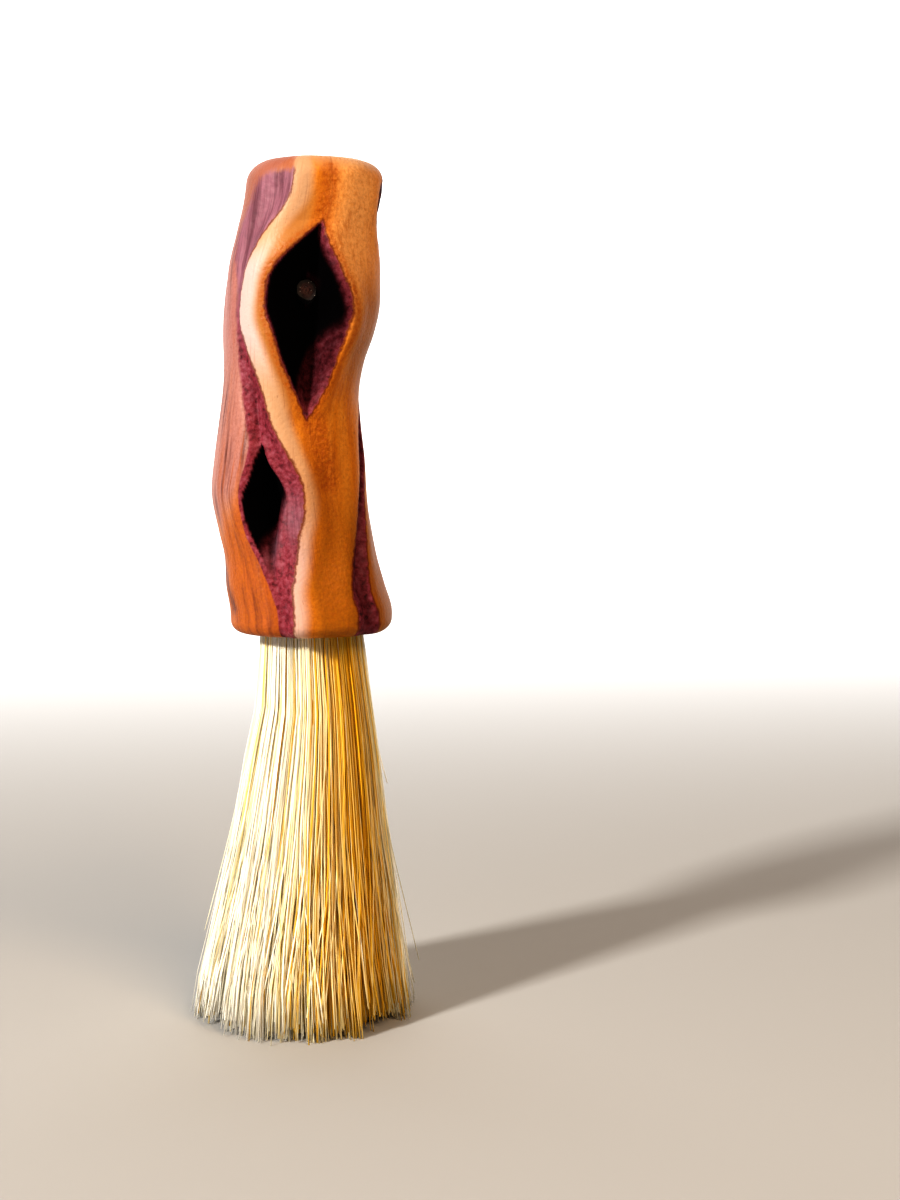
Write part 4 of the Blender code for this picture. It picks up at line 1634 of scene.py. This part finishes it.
    def butt(self) -> Piece:
        """Makes the glued butt: a slice with a waist that the cord is wound in.

        Returns:
            The butt, not yet dressed.
        """
        length = self.top - self.butt_bottom
        deselect()
        bpy.ops.mesh.primitive_cylinder_add(
            vertices=self.butt_sides,
            radius=self.butt_radius,
            depth=length,
            location=(self.middle, 0, self.butt_bottom + length / 2),
        )
        butt = open_piece("tampico_butt")
        for height in (self.butt_bottom + self.flange, self.top - self.flange):
            bpy.ops.mesh.select_all(action="SELECT")
            bpy.ops.mesh.bisect(plane_co=(0, 0, height), plane_no=(0, 0, 1))
        low, high = self.butt_bottom + self.flange / 2, self.top - self.flange / 2
        select_where(
            butt,
            "FACE",
            lambda f: low < f.calc_center_median().z < high
            and abs(f.normal.z) < 0.5
            and f.calc_area() > MM * MM,
        )
        bpy.ops.mesh.extrude_region_shrink_fatten(
            TRANSFORM_OT_shrink_fatten={"value": self.waist_radius - self.butt_radius}
        )
        for end in (1, -1):
            select_where(butt, "FACE", lambda f, end=end: f.normal.z * end > 0.9 and len(f.verts) > 50)
            ring_cap(self.butt_rings, self.butt_radius * 0.16)
        bpy.ops.object.mode_set(mode="OBJECT")
        points = points_of(butt)
        ends = (points[:, 2] > self.top - 1e-5) | (points[:, 2] < self.butt_bottom + 1e-5)
        points[:, 2] += ends * self.butt_rough * lumps(points, (1.2 * MM,) * 3, 4.0)
        move_points(butt, points)
        write_attribute(butt, "tone", 0.5 + 0.3 * lumps(points, (0.6 * MM, 0.6 * MM, 20 * MM), 1.0))
        write_attribute(butt, "along", np.zeros(len(points)))
        bpy.ops.object.shade_smooth_by_angle(angle=math.radians(40))
        return butt

    def build(self) -> list[Piece]:
        """Makes and dresses the whole tuft.

        Returns:
            Its pieces.
        """
        material = self.finish.material()
        made = [self.layer(layer) for layer in Layer] + [self.stray_fibres(), self.butt()]
        return [finish_piece(piece, material, "bristle_tuft") for piece in made]


@dataclass
class CordBinding:
    """The waxed cord wound four times round the tuft's butt: three yarns twisted together."""

    middle: float = 2.2 * MM
    winding_radius: float = 12.66 * MM
    start: float = 108.35 * MM
    pitch: float = 1.25 * MM
    turns: int = 4
    yarns: int = 3
    yarn_radius: float = 0.19 * MM
    lay: float = 2.6 * MM
    twist: float = 1.1
    points_per_turn: int = 150
    finish: WaxedCordFinish = field(default_factory=WaxedCordFinish)

    def yarn(self, number: int) -> Piece:
        """Lays one yarn along the winding.

        Args:
            number: which of the yarns.

        Returns:
            The yarn, as a curve with closed ends.
        """
        curve = bpy.data.curves.new(f"yarn_{number}", "CURVE")
        curve.dimensions = "3D"
        curve.bevel_depth = self.yarn_radius
        curve.bevel_resolution = 1
        curve.use_fill_caps = True
        spline = curve.splines.new("POLY")
        spline.points.add(self.turns * self.points_per_turn)
        twists = 2 * math.pi * self.winding_radius / self.lay
        off_middle = self.yarn_radius * self.twist
        for k, point in enumerate(spline.points):
            turns = k / self.points_per_turn
            turn, twist = 2 * math.pi * turns, 2 * math.pi * (number / self.yarns + turns * twists)
            out = self.winding_radius + off_middle * math.cos(twist)
            height = self.start + self.pitch * turns + off_middle * math.sin(twist)
            point.co = (self.middle + out * math.cos(turn), out * math.sin(turn), height, 1)
        made = bpy.data.objects.new(curve.name, curve)
        bpy.context.scene.collection.objects.link(made)
        return made

    def build(self) -> Piece:
        """Makes and dresses the binding.

        Returns:
            The finished binding.
        """
        deselect()
        for number in range(self.yarns):
            yarn = self.yarn(number)
            yarn.select_set(True)
            bpy.context.view_layer.objects.active = yarn
        bpy.ops.object.convert(target="MESH")
        bpy.ops.object.join()
        cord = bpy.context.object
        cord.name = "waxed_binding"
        bpy.ops.object.mode_set(mode="EDIT")
        bpy.ops.mesh.select_all(action="SELECT")
        bpy.ops.mesh.remove_doubles(threshold=1e-6)
        bpy.ops.mesh.normals_make_consistent(inside=False)
        bpy.ops.object.mode_set(mode="OBJECT")
        bpy.ops.object.shade_smooth()
        return finish_piece(cord, self.finish.material(), "binding_cord")


@dataclass
class GlueBed:
    """The set glue above the tuft's butt, which keeps its own solid and gets its finish here."""

    finish: SetGlueFinish = field(default_factory=SetGlueFinish)

    def build(self) -> Piece:
        """Dresses the glue's solid.

        Returns:
            The solid.
        """
        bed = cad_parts["glue_bed"]
        bed.data.materials.clear()
        bed.data.materials.append(self.finish.material())
        log.info("%s: keeps its solid", bed.name)
        return bed


@dataclass
class Studio:
    """A pale sweep and room, with a soft light from the left and a weaker, warmer one from the right."""

    camera_place: tuple[float, float, float] = (0.0016, -0.430, 0.145)
    camera_dip: float = 5.38
    camera_turn: float = 4.71952985
    lens: float = 51.6
    aim: tuple[float, float, float] = (0, 0, 0.11)
    size: float = 4
    height: float = 2.5
    corner: float = 1
    corner_steps: int = 16
    # how far back the sweep starts to glow, and how far back it glows fully
    glow: tuple[float, float] = (0.05, 1.3)
    floor_colour: str = "#AEADAC"
    room_colour: str = "#F4F4F6"
    room_strength: float = 0.12
    # each light's name, place, width, power in watts and colour
    lights: tuple[tuple[str, tuple[float, float, float], float, float, str], ...] = (
        ("key", (-1.32, -1.00, 1.02), 0.22, 39.0, "#FFFAF2"),
        ("fill", (0.55, -0.90, 1.10), 0.70, 10.4, "#FFDEB6"),
    )

    def sweep(self) -> None:
        """Makes the floor, which curves up behind the brush and glows paler towards the back."""
        deselect()
        bpy.ops.mesh.primitive_plane_add(size=self.size, location=(0, 0, 0))
        sweep = open_piece("pale_sweep")
        back = self.size / 2 - 0.1
        select_where(sweep, "EDGE", lambda e: min(v.co.y for v in e.verts) > back)
        bpy.ops.mesh.extrude_region_move(TRANSFORM_OT_translate={"value": (0, 0, self.height)})
        select_where(
            sweep,
            "EDGE",
            lambda e: min(v.co.y for v in e.verts) > back and max(v.co.z for v in e.verts) < 0.1,
        )
        bpy.ops.mesh.bevel(offset=self.corner, segments=self.corner_steps)
        bpy.ops.object.mode_set(mode="OBJECT")
        bpy.ops.object.shade_smooth()
        material, node, shader = new_finish("matt_paper", Roughness=0.9, IOR=1.45)
        depth = node("SeparateXYZ", {0: node("TexCoord", {}, "Object")}, "Y")
        glow = node(
            "MapRange",
            {"Value": depth, "From Min": self.glow[0], "From Max": self.glow[1]},
            interpolation_type="SMOOTHSTEP",
        )
        colours = {"Base Color": linear(self.floor_colour), "Emission Color": linear("#FFFFFF")}
        feed(shader, {**colours, "Emission Strength": glow})
        sweep.data.materials.append(material)

    def build(self) -> None:
        """Sets up the room, the lights and the camera."""
        self.sweep()
        scene = bpy.context.scene
        for name, place, size, power, colour in self.lights:
            data = bpy.data.lights.new(name, "AREA")
            data.energy = power
            data.size = size
            data.color = linear(colour)[:3]
            light = bpy.data.objects.new(name, data)
            light.location = place
            light.rotation_euler = (Vector(self.aim) - Vector(place)).to_track_quat("-Z", "Y").to_euler()
            scene.collection.objects.link(light)
        scene.world = bpy.data.worlds.new("pale_room")
        scene.world.use_nodes = True
        room = {"Color": linear(self.room_colour), "Strength": self.room_strength}
        feed(scene.world.node_tree.nodes["Background"], room)
        scene.view_settings.view_transform = "Standard"
        scene.view_settings.look = "High Contrast"
        data = bpy.data.cameras.new("camera")
        data.lens = self.lens
        data.sensor_width = 36
        camera = bpy.data.objects.new("camera", data)
        camera.location = self.camera_place
        camera.rotation_euler = (math.radians(90 - self.camera_dip), 0, -math.radians(self.camera_turn))
        scene.collection.objects.link(camera)
        scene.camera = camera


def main() -> None:
    """Builds the brush piece by piece, and then the room and the camera."""
    logging.basicConfig(level=logging.INFO, format="%(message)s")
    stick = WillowStick()
    stick.build()
    BranchStub(stick).build()
    FibreTuft().build()
    CordBinding().build()
    GlueBed().build()
    Studio().build()


if __name__ == "__main__":
    main()
